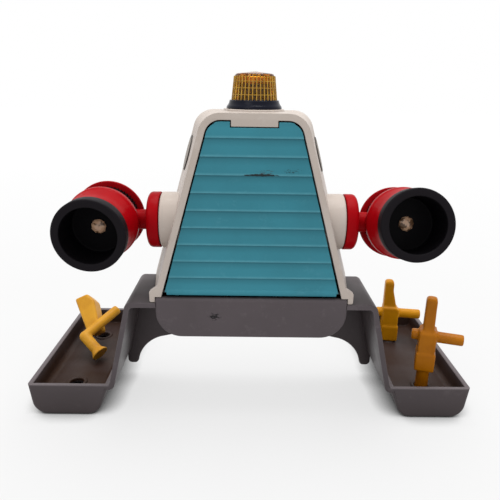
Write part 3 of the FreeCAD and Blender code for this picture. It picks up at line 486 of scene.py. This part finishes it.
# Cabin: a hollow shell moulded in white plastic that has yellowed, with a rounded frame round the ramp,
# a latch tab under its top edge, a round boss on each side and a low pad under the beacon.
CABIN_EDGE_ROUND = 0.8 * MM
CABIN_WHITE = (0.445, 0.390, 0.350, 1)
CABIN_PALE = (0.55, 0.51, 0.48, 1)
CABIN_YELLOWED = (0.355, 0.295, 0.250, 1)
cabin_white = plastic("cabin_white", CABIN_WHITE, CABIN_PALE, CABIN_YELLOWED, blotch=16.0, wear=0.35,
                      roughness=0.38, gloss=0.16)
cabin = moulded_copy("cabin_moulding", "cabin_shell", CABIN_EDGE_ROUND)
dress(cabin, "hull", "cabin_white", cabin_white, "cabin_shell")


# Portholes: round grey-beige inserts pressed flush into the side walls, one each side.
# A ring of painted shade darkens the joint round them.
PORTHOLE_EDGE = 0.35 * MM
PORTHOLE_BEIGE = (0.25, 0.215, 0.18, 1)
PORTHOLE_PALE = (0.34, 0.30, 0.26, 1)
PORTHOLE_DEEP = (0.17, 0.145, 0.12, 1)
PORTHOLE_JOINT_SHADE = (0.035, 0.030, 0.027, 1)
JOINT_SHADE_FROM = 0.88
JOINT_SHADE_FULL = 0.95
porthole_beige = plastic("porthole_beige", PORTHOLE_BEIGE, PORTHOLE_PALE, PORTHOLE_DEEP, blotch=60.0,
                         wear=0.3, roughness=0.45, gloss=0.16)


def add_porthole_outline(material):
    """Darken the outer edge of each insert with painted shade; both lie at the same place along the cabin.
    """
    low, high = (Vector(corner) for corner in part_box("left_porthole"))
    middle = (low + high) / 2
    radius = (high.y - low.y) / 2
    tree = material.node_tree
    axes = tree.nodes.new("ShaderNodeSeparateXYZ")
    link_nodes(tree, (tree.nodes.new("ShaderNodeTexCoord").outputs["Object"], axes.inputs["Vector"]))
    along = combine(tree, "SUBTRACT", axes.outputs["Y"], middle.y)
    up = combine(tree, "SUBTRACT", axes.outputs["Z"], middle.z)
    away = combine(tree, "POWER", combine(tree, "ADD", combine(tree, "MULTIPLY", along, along),
                                          combine(tree, "MULTIPLY", up, up)), 0.5)
    # Painted shade in a ring at the insert's edge.
    joint_shade = spread(tree, away, radius * JOINT_SHADE_FROM, radius * JOINT_SHADE_FULL, 0.0, 0.9)
    lay_over(material, joint_shade, PORTHOLE_JOINT_SHADE)


add_porthole_outline(porthole_beige)
for side in ("left", "right"):
    porthole = moulded_copy(side + "_porthole_insert", side + "_porthole", PORTHOLE_EDGE)
    dress(porthole, "hull", "porthole_beige", porthole_beige, side + "_porthole")


# Ramp door: one flat turquoise moulding shaped as lapped slats, notched at the top for the latch tab.
# It hangs on the steel rod along its lower edge. Its slat lips carry a painted highlight with painted
# shade under them, and it is scuffed.
RAMP_LIP = 0.22 * MM
RAMP_TURQUOISE = (0.030, 0.190, 0.245, 1)
RAMP_PALE = (0.080, 0.275, 0.335, 1)
RAMP_DEEP = (0.020, 0.132, 0.172, 1)
SLAT_FIRST = 67.5 * MM
SLAT_PITCH = 7.2 * MM
SLATS_LOW = 64.0 * MM
SLATS_HIGH = 131.4 * MM
STREAK_SCALE = 220
ramp_turquoise = plastic("ramp_turquoise", RAMP_TURQUOISE, RAMP_PALE, RAMP_DEEP, blotch=20.0, wear=0.22,
                         roughness=0.45, gloss=0.2)


def add_slat_highlight_and_shade(material):
    """Paint a highlight on the proud lower lip of each slat, and paint shade into the corner under it."""
    tree = material.node_tree
    place = tree.nodes.new("ShaderNodeTexCoord").outputs["Object"]
    axes = tree.nodes.new("ShaderNodeSeparateXYZ")
    link_nodes(tree, (place, axes.inputs["Vector"]))
    height = axes.outputs["Z"]
    slats = combine(tree, "DIVIDE", combine(tree, "SUBTRACT", height, SLAT_FIRST), SLAT_PITCH)
    up_slat = combine(tree, "FRACT", slats, 0.0)
    on_front = combine(tree, "MULTIPLY", spread(tree, height, SLATS_LOW, SLATS_LOW + 0.5 * MM),
                       spread(tree, height, SLATS_HIGH - 0.4 * MM, SLATS_HIGH, 1.0, 0.0))
    streak = spread(tree, noise(tree, place, STREAK_SCALE, 3.0), 0.3, 0.7, 0.55, 1.0)
    # Painted highlight on each lower lip, and painted shade at the top of each slat, under the lip above.
    lip = combine(tree, "MULTIPLY", spread(tree, up_slat, 0.03, 0.15, 0.85, 0.0), streak)
    under_lip_shade = spread(tree, up_slat, 0.55, 0.985, 0.0, 0.75)
    lay_over(material, combine(tree, "MULTIPLY", under_lip_shade, on_front), RAMP_DEEP)
    lay_over(material, combine(tree, "MULTIPLY", lip, on_front), RAMP_PALE)


add_slat_highlight_and_shade(ramp_turquoise)
SCUFF_DARK = (0.012, 0.020, 0.022, 1)
SCUFF_GREY = (0.040, 0.060, 0.062, 1)
RAMP_SCUFF = (0.0050, -0.0334, 0.1119)
RAMP_SCUFF_REACH = (0.0050, 0.020, 0.0018)
RAMP_SCUFF_DENSITY = 0.16
RAMP_SPECKS = (0.0150, -0.0334, 0.1125)
RAMP_SPECKS_REACH = (0.0045, 0.020, 0.0016)
RAMP_SPECKS_DENSITY = 0.12
RAMP_SCRATCH = (0.0030, -0.0334, 0.1109)
RAMP_SCRATCH_REACH = (0.0088, 0.020, 0.0007)
RAMP_SCRATCH_DENSITY = 0.4
add_mark(ramp_turquoise, RAMP_SCUFF, RAMP_SCUFF_REACH, RAMP_SCUFF_DENSITY, SCUFF_GREY)
add_mark(ramp_turquoise, RAMP_SPECKS, RAMP_SPECKS_REACH, RAMP_SPECKS_DENSITY, SCUFF_DARK)
add_mark(ramp_turquoise, RAMP_SCRATCH, RAMP_SCRATCH_REACH, RAMP_SCRATCH_DENSITY, SCUFF_DARK)
RAMP_SPREAD = 0.018
RAMP_TOP_RISE = 0.35 * MM
NOTCH_HALF = 9.95 * MM
NOTCH_DEPTH = 2.4 * MM
NOTCH_CLOSE = 0.55 * MM
NEAR = 0.35 * MM


def close_ramp_gaps(piece):
    """Let the panel fill its frame as closely as the real one, with a hair of room left at the top."""
    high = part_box("ramp_door")[1][2]
    notch_foot = high - NOTCH_DEPTH
    for vert in piece.data.vertices:
        across = abs(vert.co.x)
        above_foot = vert.co.z - notch_foot
        if above_foot > NOTCH_DEPTH - NEAR:
            vert.co.z += RAMP_TOP_RISE
        elif abs(above_foot) < NEAR and across < NOTCH_HALF + NEAR:
            vert.co.z += NOTCH_CLOSE
        if above_foot > -NEAR and abs(across - NOTCH_HALF) < NEAR:
            vert.co.x -= math.copysign(NOTCH_CLOSE, vert.co.x)
        else:
            vert.co.x *= 1 + RAMP_SPREAD * max(0.0, (vert.co.z - SLATS_LOW) / (high - SLATS_LOW))


ramp = moulded_copy("ramp_slats", "ramp_door", RAMP_LIP)
close_ramp_gaps(ramp)
dress(ramp, "ramp", "ramp_turquoise", ramp_turquoise, "ramp_door")


# Beacon: a glossy black flared collar with a dark core stands on the roof pad, and a clear amber cap
# is pushed over it. Fine upright ribs and three thin rings stand proud of the cap, painted opaque
# yellow as a painted glint for the light the clear ribs catch.
collar_low, collar_high = (Vector(corner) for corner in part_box("beacon_collar"))
lens_low, lens_high = (Vector(corner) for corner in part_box("beacon_lens"))
BEACON_AXIS = (collar_low + collar_high) / 2
COLLAR_RADIUS = (collar_high.x - collar_low.x) / 2
LENS_RADIUS = (lens_high.x - lens_low.x) / 2
LENS_HEIGHT = lens_high.z - lens_low.z
RIB_COUNT = 36
RIB_RISE = 0.3 * MM
RIB_HALF = 0.17 * MM
RIB_SUNK = 0.25 * MM
RING_COUNT = 3
RING_SHARE = 0.6
LENS_FOOT = LENS_RADIUS - RIB_RISE
LENS_TAPER = 0.95 * MM
LENS_SHOULDER = LENS_HEIGHT - 1.9 * MM
LENS_WALL = 1.2 * MM
LENS_SMOOTH = 40
CORE_RADIUS = 6.8 * MM
BEACON_BLACK = (0.003, 0.004, 0.012, 1)
BEACON_BLACK_PALE = (0.008, 0.009, 0.016, 1)
BEACON_BLACK_DEEP = (0.002, 0.002, 0.006, 1)
AMBER_CLEAR = (0.74, 0.37, 0.022, 1)
AMBER_HAZY = (0.62, 0.28, 0.012, 1)
AMBER_TOP = (0.47, 0.160, 0.008, 1)
RIB_YELLOW = (0.48, 0.28, 0.030, 1)
RIB_PALE = (0.72, 0.52, 0.12, 1)
RIB_DEEP = (0.27, 0.125, 0.008, 1)
HAZE_SCALE = 260
TURNED_STEPS = 96
WELD = 0.001 * MM
ON_HOOP = 0.002 * MM


def join_into(mesh, other):
    """Add a second bmesh to the first and free it."""
    spare = bpy.data.meshes.new("spare")
    other.to_mesh(spare)
    other.free()
    mesh.from_mesh(spare)
    bpy.data.meshes.remove(spare)


def turned(profile, place, steps=TURNED_STEPS):
    """Spin a profile of (radius, height, rounding) points round the Z axis and put it in place."""
    mesh = bmesh.new()
    ring = [mesh.verts.new((radius, 0, height)) for radius, height, _ in profile]
    edges = [mesh.edges.new(pair) for pair in zip(ring, ring[1:])]
    bmesh.ops.spin(mesh, geom=ring + edges, cent=(0, 0, 0), axis=(0, 0, 1), angle=2 * math.pi,
                   steps=steps, use_merge=True, use_duplicate=False)
    bmesh.ops.remove_doubles(mesh, verts=mesh.verts, dist=WELD)
    for radius, height, rounding in profile:
        if rounding <= 0:
            continue
        hoop = [edge for edge in mesh.edges if len(edge.link_faces) == 2
                and all(abs(math.hypot(vert.co.x, vert.co.y) - radius) < ON_HOOP
                        and abs(vert.co.z - height) < ON_HOOP for vert in edge.verts)]
        bmesh.ops.bevel(mesh, geom=hoop, offset=rounding, offset_type="OFFSET", segments=ROUND_STEPS,
                        profile=0.5, affect="EDGES", clamp_overlap=True, material=-1)
    bmesh.ops.recalc_face_normals(mesh, faces=mesh.faces)
    mesh.transform(place)
    return mesh


def collar_piece():
    """Flared collar and the core that stands up inside the lens."""
    rise = lens_low.z - collar_low.z
    core_top = collar_high.z - collar_low.z
    profile = [(0, 0, 0), (COLLAR_RADIUS, 0, 0.3 * MM), (COLLAR_RADIUS, 0.9 * MM, 0.5 * MM),
               (COLLAR_RADIUS - 0.9 * MM, rise * 0.55, 0.6 * MM),
               (COLLAR_RADIUS - 1.3 * MM, rise, 0.3 * MM), (CORE_RADIUS, rise, 0.2 * MM),
               (CORE_RADIUS, core_top, 0.6 * MM), (0, core_top, 0)]
    place = Matrix.Translation((BEACON_AXIS.x, BEACON_AXIS.y, collar_low.z))
    return finished_piece("beacon_collar_turned", turned(profile, place))


def lens_piece():
    """Tapered cap with a low cone for a top, hollow inside."""
    top_radius = LENS_FOOT - LENS_TAPER
    profile = [(LENS_FOOT - LENS_WALL, 0, 0), (LENS_FOOT, 0, 0), (top_radius, LENS_SHOULDER, 0.5 * MM),
               (top_radius - 0.6 * MM, LENS_HEIGHT - 1.0 * MM, 0.4 * MM), (0, LENS_HEIGHT, 0)]
    mesh = turned(profile, Matrix.Identity(4))
    inner = [(LENS_FOOT - LENS_WALL, 0.0, 0), (top_radius - LENS_WALL, LENS_SHOULDER - 0.4 * MM, 0.8 * MM),
             (0, LENS_HEIGHT - LENS_WALL, 0)]
    inside = turned(inner, Matrix.Identity(4))
    bmesh.ops.reverse_faces(inside, faces=inside.faces)
    join_into(mesh, inside)
    bmesh.ops.remove_doubles(mesh, verts=mesh.verts, dist=10 * WELD)
    mesh.transform(Matrix.Translation((BEACON_AXIS.x, BEACON_AXIS.y, lens_low.z)))
    return finished_piece("beacon_lens_cap", mesh, smooth_angle=LENS_SMOOTH)


def lens_ribs():
    """Fine upright ribs and thin rings that stand proud of the cap, painted opaque bright yellow as a
    painted glint for the light they catch.
    """
    mesh = bmesh.new()
    for rib in range(RIB_COUNT):
        bar = bmesh.ops.create_cube(mesh, size=1.0)["verts"]
        turn = Matrix.Rotation(2 * math.pi * (rib + 0.5) / RIB_COUNT, 4, "Z")
        for vert in bar:
            up = vert.co.z + 0.5
            surface = LENS_FOOT - LENS_TAPER * up
            depth = RIB_RISE if vert.co.x > 0 else -RIB_SUNK
            vert.co = turn @ Vector((surface + depth, vert.co.y * 2 * RIB_HALF, up * LENS_SHOULDER))
    for ring in range(RING_COUNT):
        up = (ring + 0.8) / (RING_COUNT + 0.6)
        surface = LENS_FOOT - LENS_TAPER * up
        height = LENS_SHOULDER * up
        proud = surface + RIB_RISE * RING_SHARE
        slim = RIB_HALF * RING_SHARE
        hoop = [(surface - RIB_SUNK, height - RIB_HALF, 0), (proud, height - slim, 0),
                (proud, height + slim, 0), (surface - RIB_SUNK, height + RIB_HALF, 0),
                (surface - RIB_SUNK, height - RIB_HALF, 0)]
        join_into(mesh, turned(hoop, Matrix.Identity(4), steps=RIB_COUNT * 2))
    bmesh.ops.recalc_face_normals(mesh, faces=mesh.faces)
    mesh.transform(Matrix.Translation((BEACON_AXIS.x, BEACON_AXIS.y, lens_low.z)))
    return finished_piece("beacon_lens_ribs", mesh)


def amber_material():
    """Clear amber plastic, thicker and browner over the top, with a faint haze."""
    material = bpy.data.materials.new("beacon_amber")
    material.use_nodes = True
    tree = material.node_tree
    shader = tree.nodes["Principled BSDF"]
    place = tree.nodes.new("ShaderNodeTexCoord").outputs["Object"]
    axes = tree.nodes.new("ShaderNodeSeparateXYZ")
    link_nodes(tree, (place, axes.inputs["Vector"]))
    over_top = spread(tree, axes.outputs["Z"], lens_high.z - 2.3 * MM, lens_high.z - 1.6 * MM)
    haze = spread(tree, noise(tree, place, HAZE_SCALE, 4.0), 0.35, 0.7)
    around = blend_colour(tree, haze, AMBER_CLEAR, AMBER_HAZY)
    link_nodes(tree, (blend_colour(tree, over_top, around, AMBER_TOP), shader.inputs["Base Color"]),
               (spread(tree, haze, 0.0, 1.0, 0.02, 0.07), shader.inputs["Roughness"]))
    shader.inputs["Transmission Weight"].default_value = 0.94
    shader.inputs["IOR"].default_value = 1.3
    shader.inputs["Specular IOR Level"].default_value = 0.12
    return material


# The collar's black is tinted blue: a painted reflection standing in for the blue the glossy collar
# reflects.
beacon_black = plastic("beacon_black", BEACON_BLACK, BEACON_BLACK_PALE, BEACON_BLACK_DEEP, wear=0.2,
                       roughness=0.16, gloss=0.14)
dress(collar_piece(), "hull", "beacon_black", beacon_black, "beacon_collar")
# Opaque bright yellow on the ribs: a painted glint standing in for light caught by the clear amber ribs.
rib_painted_glint = plastic("rib_painted_glint", RIB_YELLOW, RIB_PALE, RIB_DEEP, blotch=300.0, wear=0.5,
                     roughness=0.3, edge=0.05 * MM, edge_wear_and_highlight=0.2)
dress(lens_piece(), "hull", "beacon_amber", amber_material(), "beacon_lens")
dress(lens_ribs(), "hull", "beacon_amber", rib_painted_glint)


# Lamps: each is a red barrel with a stub arm and a pivot disc, closed behind by a domed red cap.
# A black cup with a thick rim is pushed in from the front, a small clear jewel sits in its floor, and
# a black knurled band fills the waist. Its radii and lengths are given in millimetres.
LAMP_TILT = {"left": 0.3, "right": 12.5}
LAMP_SIDE = {"left": -1, "right": 1}
LAMP_OUT = 63.0
PIVOT = Vector((LAMP_OUT * MM, -18.0 * MM, 88.6 * MM))
BOSS_FACE = 38.9
DISC_GAP = 0.3
DISC_FACE = LAMP_OUT - BOSS_FACE - DISC_GAP
DISC_BACK = DISC_FACE - 5.1
DISC_RADIUS = 12.05
ARM_FOOT = 11.6
ARM_RADIUS = 4.35
PIN_RADIUS = 2.0
PIN_DEPTH = 4.9
MUZZLE = -28.0
RIM_BACK = -22.3
RIM_RADIUS = 14.4
CUP_FLOOR = -12.5
CUP_BORE = 11.1
CUP_RADIUS = 12.2
CUP_WALL = 1.4
BARREL_BORE = 12.3
BARREL_WAIST = 12.3
BARREL_LIP = 15.2
LIP_BACK = -5.6
WAIST_BACK = 4.7
CAP_FRONT = 4.8
CAP_RADIUS = 15.5
SPIGOT_RADIUS = 8.0
SPIGOT_TIP = 2.4
SEAT_GAP = 0.1
JEWEL_RADIUS = 3.12
JEWEL_FACETS = 9
GLINT_PATCH_SCALE = 420
GRIP_FRONT = -5.3
GRIP_BACK = 4.5
GRIP_INNER = 12.32
GRIP_OUTER = 12.75
GRIP_TEETH = 54
TOOTH_RISE = 0.7
GRIP_SMOOTH = 20
LAMP_RED = (0.30, 0.0015, 0.004, 1)
LAMP_RED_PALE = (0.37, 0.012, 0.012, 1)
LAMP_RED_DEEP = (0.21, 0.0005, 0.003, 1)
LAMP_BLACK = (0.0022, 0.0018, 0.0026, 1)
LAMP_BLACK_PALE = (0.008, 0.007, 0.008, 1)
LAMP_BLACK_DEEP = (0.0015, 0.0012, 0.0018, 1)
RIM_PAINTED_LIGHTER = (0.0075, 0.0062, 0.0078, 1)
JEWEL_CLEAR = (0.72, 0.44, 0.28, 1)
JEWEL_DARK = (0.16, 0.085, 0.045, 1)
lamp_red = plastic("lamp_red", LAMP_RED, LAMP_RED_PALE, LAMP_RED_DEEP, blotch=34.0, wear=0.25,
                   roughness=0.34, gloss=0.035, edge_wear_and_highlight=0.3)
lamp_black = plastic("lamp_black", LAMP_BLACK, LAMP_BLACK_PALE, LAMP_BLACK_DEEP, blotch=40.0, wear=0.3,
                     roughness=0.5, gloss=0.05)
# The cups' rims are painted a little lighter than their hollows: painted light on the rim, painted shade
# inside.
rim_paint = lamp_black.node_tree.nodes.new("ShaderNodeAttribute")
rim_paint.attribute_name = "rim"
lay_over(lamp_black, rim_paint.outputs["Fac"], RIM_PAINTED_LIGHTER)


def jewel_material():
    """Clear plastic painted with light and dark patches that stand in for glints and shade in its facets.
    """
    material = bpy.data.materials.new("lamp_jewel")
    material.use_nodes = True
    tree = material.node_tree
    shader = tree.nodes["Principled BSDF"]
    place = tree.nodes.new("ShaderNodeTexCoord").outputs["Object"]
    glint_patches = spread(tree, noise(tree, place, GLINT_PATCH_SCALE, 2.0), 0.46, 0.56)
    link_nodes(tree, (blend_colour(tree, glint_patches, JEWEL_CLEAR, JEWEL_DARK), shader.inputs["Base Color"]),
               (spread(tree, glint_patches, 0.0, 1.0, 0.08, 0.2), shader.inputs["Roughness"]))
    shader.inputs["Transmission Weight"].default_value = 0.2
    return material


lamp_jewel = jewel_material()


def in_mm(profile):
    """A profile whose points are given in millimetres, in metres."""
    return [tuple(part * MM for part in point) for point in profile]


def lamp_centre(side):
    return Matrix.Translation((LAMP_SIDE[side] * PIVOT.x, PIVOT.y, PIVOT.z))


def lamp_place(side):
    """From a turned shape's own Z axis to the lamp's axis, which points back along +Y and tips up."""
    tip = Matrix.Rotation(math.radians(-LAMP_TILT[side]), 4, "X")
    return lamp_centre(side) @ tip @ Matrix.Rotation(math.radians(-90), 4, "X")


def lamp_housing(side):
    """Barrel with its flare, lip and waist, and the arm and disc that carry it."""
    front = RIM_BACK + SEAT_GAP
    barrel = [(BARREL_BORE, front, 0), (13.1, front, 0.3), (13.5, -15.0, 1.5), (14.7, -9.6, 0.6),
              (BARREL_LIP, -8.6, 0.5), (BARREL_LIP, LIP_BACK, 0.6), (BARREL_WAIST, LIP_BACK, 0.4),
              (BARREL_WAIST, WAIST_BACK, 0), (SPIGOT_RADIUS + SEAT_GAP, WAIST_BACK, 0),
              (SPIGOT_RADIUS + SEAT_GAP, SPIGOT_TIP - SEAT_GAP, 0), (0, SPIGOT_TIP - SEAT_GAP, 0)]
    mesh = turned(in_mm(barrel), lamp_place(side))
    pin_end = DISC_FACE - PIN_DEPTH
    arm = [(0, ARM_FOOT, 0), (ARM_RADIUS, ARM_FOOT, 0), (ARM_RADIUS, DISC_BACK, 0.7),
           (DISC_RADIUS, DISC_BACK, 1.7), (DISC_RADIUS, DISC_FACE, 0.4), (PIN_RADIUS, DISC_FACE, 0),
           (PIN_RADIUS, pin_end, 0), (0, pin_end, 0)]
    inward = Matrix.Rotation(math.radians(-90 * LAMP_SIDE[side]), 4, "Y")
    join_into(mesh, turned(in_mm(arm), lamp_centre(side) @ inward))
    return finished_piece(side + "_lamp_barrel", mesh)


def lamp_cap(side):
    """Domed cap with a spigot that closes the barrel."""
    profile = [(0, SPIGOT_TIP, 0), (SPIGOT_RADIUS, SPIGOT_TIP, 0), (SPIGOT_RADIUS, CAP_FRONT, 0),
               (CAP_RADIUS, CAP_FRONT, 0.5), (CAP_RADIUS, 6.6, 0.9), (9.0, 7.9, 2.0), (0, 8.35, 0)]
    return finished_piece(side + "_lamp_cap", turned(in_mm(profile), lamp_place(side)))


def lamp_cup(side):
    """Cup whose thick rim is marked, so that it can be painted a little less black than the hollow, as
    painted light on the rim and painted shade inside.
    """
    profile = [(0, CUP_FLOOR, 0), (CUP_BORE, CUP_FLOOR, 0.8), (CUP_BORE, MUZZLE, 0.5),
               (RIM_RADIUS, MUZZLE, 0.7), (RIM_RADIUS, RIM_BACK, 0.5), (CUP_RADIUS, RIM_BACK, 0),
               (CUP_RADIUS, CUP_FLOOR + CUP_WALL, 0), (0, CUP_FLOOR + CUP_WALL, 0)]
    mesh = turned(in_mm(profile), Matrix.Identity(4))
    rim = mesh.verts.layers.float.new("rim")
    for vert in mesh.verts:
        outside = math.hypot(vert.co.x, vert.co.y) > (CUP_BORE + 0.2) * MM
        vert[rim] = float(outside and vert.co.z < (RIM_BACK + 0.3) * MM)
    mesh.transform(lamp_place(side))
    return finished_piece(side + "_lamp_cup_turned", mesh)


def lamp_jewel_piece(side):
    """Low dome cut in flat facets, a hair off the cup's floor."""
    foot = CUP_FLOOR - 0.02
    profile = [(0, foot, 0), (JEWEL_RADIUS, foot, 0), (JEWEL_RADIUS, foot - 0.5, 0), (2.55, foot - 1.1, 0),
               (1.45, foot - 1.55, 0), (0, foot - 1.68, 0)]
    mesh = turned(in_mm(profile), lamp_place(side), steps=JEWEL_FACETS)
    piece = finished_piece(side + "_lamp_jewel_cut", mesh)
    piece.data.shade_flat()
    return piece


def lamp_grip(side):
    """Black knurled band in the waist between the barrel's lip and the rear cap."""
    profile = [(GRIP_INNER, GRIP_FRONT, 0), (GRIP_OUTER, GRIP_FRONT, 0), (GRIP_OUTER, GRIP_BACK, 0),
               (GRIP_INNER, GRIP_BACK, 0)]
    mesh = turned(in_mm(profile), Matrix.Identity(4), steps=GRIP_TEETH * 2)
    for vert in mesh.verts:
        radius = math.hypot(vert.co.x, vert.co.y)
        turn = round(math.atan2(vert.co.y, vert.co.x) / math.pi * GRIP_TEETH)
        if radius > (GRIP_OUTER - 0.15) * MM and turn % 2:
            vert.co.x *= 1 + TOOTH_RISE * MM / radius
            vert.co.y *= 1 + TOOTH_RISE * MM / radius
    mesh.transform(lamp_place(side))
    return finished_piece(side + "_lamp_grip", mesh, smooth_angle=GRIP_SMOOTH)


for side in ("left", "right"):
    dress(lamp_housing(side), side + "_lamp", "lamp_red", lamp_red, side + "_lamp_housing")
    dress(lamp_cap(side), side + "_lamp", "lamp_red", lamp_red, side + "_lamp_rear_cap")
    dress(lamp_cup(side), side + "_lamp", "lamp_black", lamp_black, side + "_lamp_cup")
    dress(lamp_jewel_piece(side), side + "_lamp", "lamp_jewel", lamp_jewel, side + "_lamp_lens")
    dress(lamp_grip(side), side + "_lamp", "lamp_black", lamp_black)


# Tools: waxy yellow mouldings with soft edges. Two stand in sockets of the right tray on round posts,
# and one with a bent arm and a flared foot lies in the left tray.
TOOL_VOXEL = 0.3 * MM
TOOL_SOFTENING = 0.5
TOOL_ROUNDS = 36
TOOL_SMOOTH = 60
# One yellow plastic, painted darker on the front tool as painted shade and lighter on the rear and lying
# tools as painted light.
TOOL_LIT_AND_SHADED_COLOURS = {"front": (0.335, 0.112, 0.001, 1), "rear": (0.50, 0.215, 0.002, 1),
                "loose": (0.53, 0.260, 0.020, 1)}


def waxy_copy(name, node):
    """A copy of a solid with every edge and inner corner softened, as soft plastic leaves the mould."""
    source = bpy.data.objects.new(name + "_source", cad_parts[node].data.copy())
    bpy.context.scene.collection.objects.link(source)
    remesh = source.modifiers.new("remesh", "REMESH")
    remesh.mode = "VOXEL"
    remesh.voxel_size = TOOL_VOXEL
    smooth = source.modifiers.new("soften", "SMOOTH")
    smooth.factor = TOOL_SOFTENING
    smooth.iterations = TOOL_ROUNDS
    soft = source.evaluated_get(bpy.context.evaluated_depsgraph_get())
    mesh = bmesh.new()
    mesh.from_mesh(soft.to_mesh())
    soft.to_mesh_clear()
    bpy.data.objects.remove(source)
    return finished_piece(name, mesh, smooth_angle=TOOL_SMOOTH)


for tool, tool_body in (("front", "front_tool"), ("rear", "rear_tool"), ("loose", "lying_tool")):
    tool_node = "loose_tool" if tool == "loose" else tool + "_peg_tool"
    red, green, blue = TOOL_LIT_AND_SHADED_COLOURS[tool][:3]
    tool_pale = (red * 1.25, green * 1.4, blue + 0.012, 1)
    tool_deep = (red * 0.68, green * 0.58, blue * 0.6, 1)
    tool_yellow = plastic(tool + "_tool_yellow", TOOL_LIT_AND_SHADED_COLOURS[tool], tool_pale, tool_deep, blotch=70.0,
                          wear=0.3, roughness=0.36, gloss=0.12)
    dress(waxy_copy(tool_node + "_moulding", tool_node), tool_body, "tool_yellow", tool_yellow, tool_node)


# Stage: a flat floor that glows softly and is painted darker where something touches it, as a painted
# contact shadow; soft light from above and in front, and a camera that looks slightly down at the front,
# as near as the photograph shows.
FLOOR_REACH = 3.0
FLOOR_GREY = (0.15, 0.15, 0.15, 1)
FLOOR_NEAR = 0.2
FLOOR_FAR = 1.2
FLOOR_GLOW_NEAR = 0.70
FLOOR_GLOW_FAR = 0.86
CONTACT_REACH = 15.0 * MM
WHITE = (1.0, 1.0, 1.0, 1)
MIDDLE = (0.0, 0.0, 0.07)
KEY_LIGHT = (-0.35, -0.60, 0.75)
TOP_LIGHT = (0.05, 0.10, 1.0)
CAMERA_PLACE = Vector((-3.25, -228.8, 143.7)) * MM
CAMERA_YAW = math.radians(-0.665)
CAMERA_PITCH = math.radians(18.02)
CAMERA_ROLL = math.radians(0.93)
CAMERA_LENS = 36.0
CAMERA_SENSOR = 36.0
CAMERA_NEAREST = 0.01


def floor_piece():
    """Floor that belongs to the stage and not to the part."""
    mesh = bmesh.new()
    bmesh.ops.create_grid(mesh, x_segments=2, y_segments=2, size=FLOOR_REACH)
    data = bpy.data.meshes.new("floor")
    mesh.to_mesh(data)
    mesh.free()
    piece = bpy.data.objects.new("floor", data)
    bpy.context.scene.collection.objects.link(piece)
    material = bpy.data.materials.new("pale_floor")
    material.use_nodes = True
    tree = material.node_tree
    shader = tree.nodes["Principled BSDF"]
    away = tree.nodes.new("ShaderNodeVectorMath")
    away.operation = "LENGTH"
    # Painted contact shadow: the glow is cut where ambient occlusion finds something close.
    contact = new_node(tree, "ShaderNodeAmbientOcclusion", Distance=CONTACT_REACH)
    glow = spread(tree, away.outputs["Value"], FLOOR_NEAR, FLOOR_FAR, FLOOR_GLOW_NEAR, FLOOR_GLOW_FAR)
    bare = spread(tree, contact.outputs["AO"], 0.25, 0.75)
    link_nodes(tree, (tree.nodes.new("ShaderNodeTexCoord").outputs["Object"], away.inputs[0]),
               (combine(tree, "MULTIPLY", glow, bare), shader.inputs["Emission Strength"]))
    shader.inputs["Base Color"].default_value = FLOOR_GREY
    shader.inputs["Emission Color"].default_value = WHITE
    shader.inputs["Roughness"].default_value = 1.0
    shader.inputs["Specular IOR Level"].default_value = 0.0
    data.materials.append(material)


def soft_light(name, place, target, size, power):
    data = bpy.data.lights.new(name, "AREA")
    data.shape = "DISK"
    data.size = size
    data.energy = power
    lamp = bpy.data.objects.new(name, data)
    lamp.location = place
    lamp.rotation_euler = (Vector(target) - Vector(place)).to_track_quat("-Z", "Y").to_euler()
    bpy.context.scene.collection.objects.link(lamp)


floor_piece()
soft_light("key", KEY_LIGHT, MIDDLE, size=0.50, power=0.8)
soft_light("top", TOP_LIGHT, MIDDLE, size=0.80, power=9.0)
world = bpy.data.worlds.new("studio")
world.use_nodes = True
world.node_tree.nodes["Background"].inputs["Color"].default_value = WHITE
world.node_tree.nodes["Background"].inputs["Strength"].default_value = 1.0
bpy.context.scene.world = world
bpy.context.scene.view_settings.view_transform = "Standard"

camera_data = bpy.data.cameras.new("camera")
camera_data.sensor_width = CAMERA_SENSOR
camera_data.lens = CAMERA_LENS
camera_data.clip_start = CAMERA_NEAREST
camera = bpy.data.objects.new("camera", camera_data)
camera.matrix_world = (Matrix.Translation(CAMERA_PLACE) @ Matrix.Rotation(CAMERA_YAW, 4, "Z")
                       @ Matrix.Rotation(math.pi / 2 - CAMERA_PITCH, 4, "X")
                       @ Matrix.Rotation(CAMERA_ROLL, 4, "Z"))
bpy.context.scene.collection.objects.link(camera)
bpy.context.scene.camera = camera
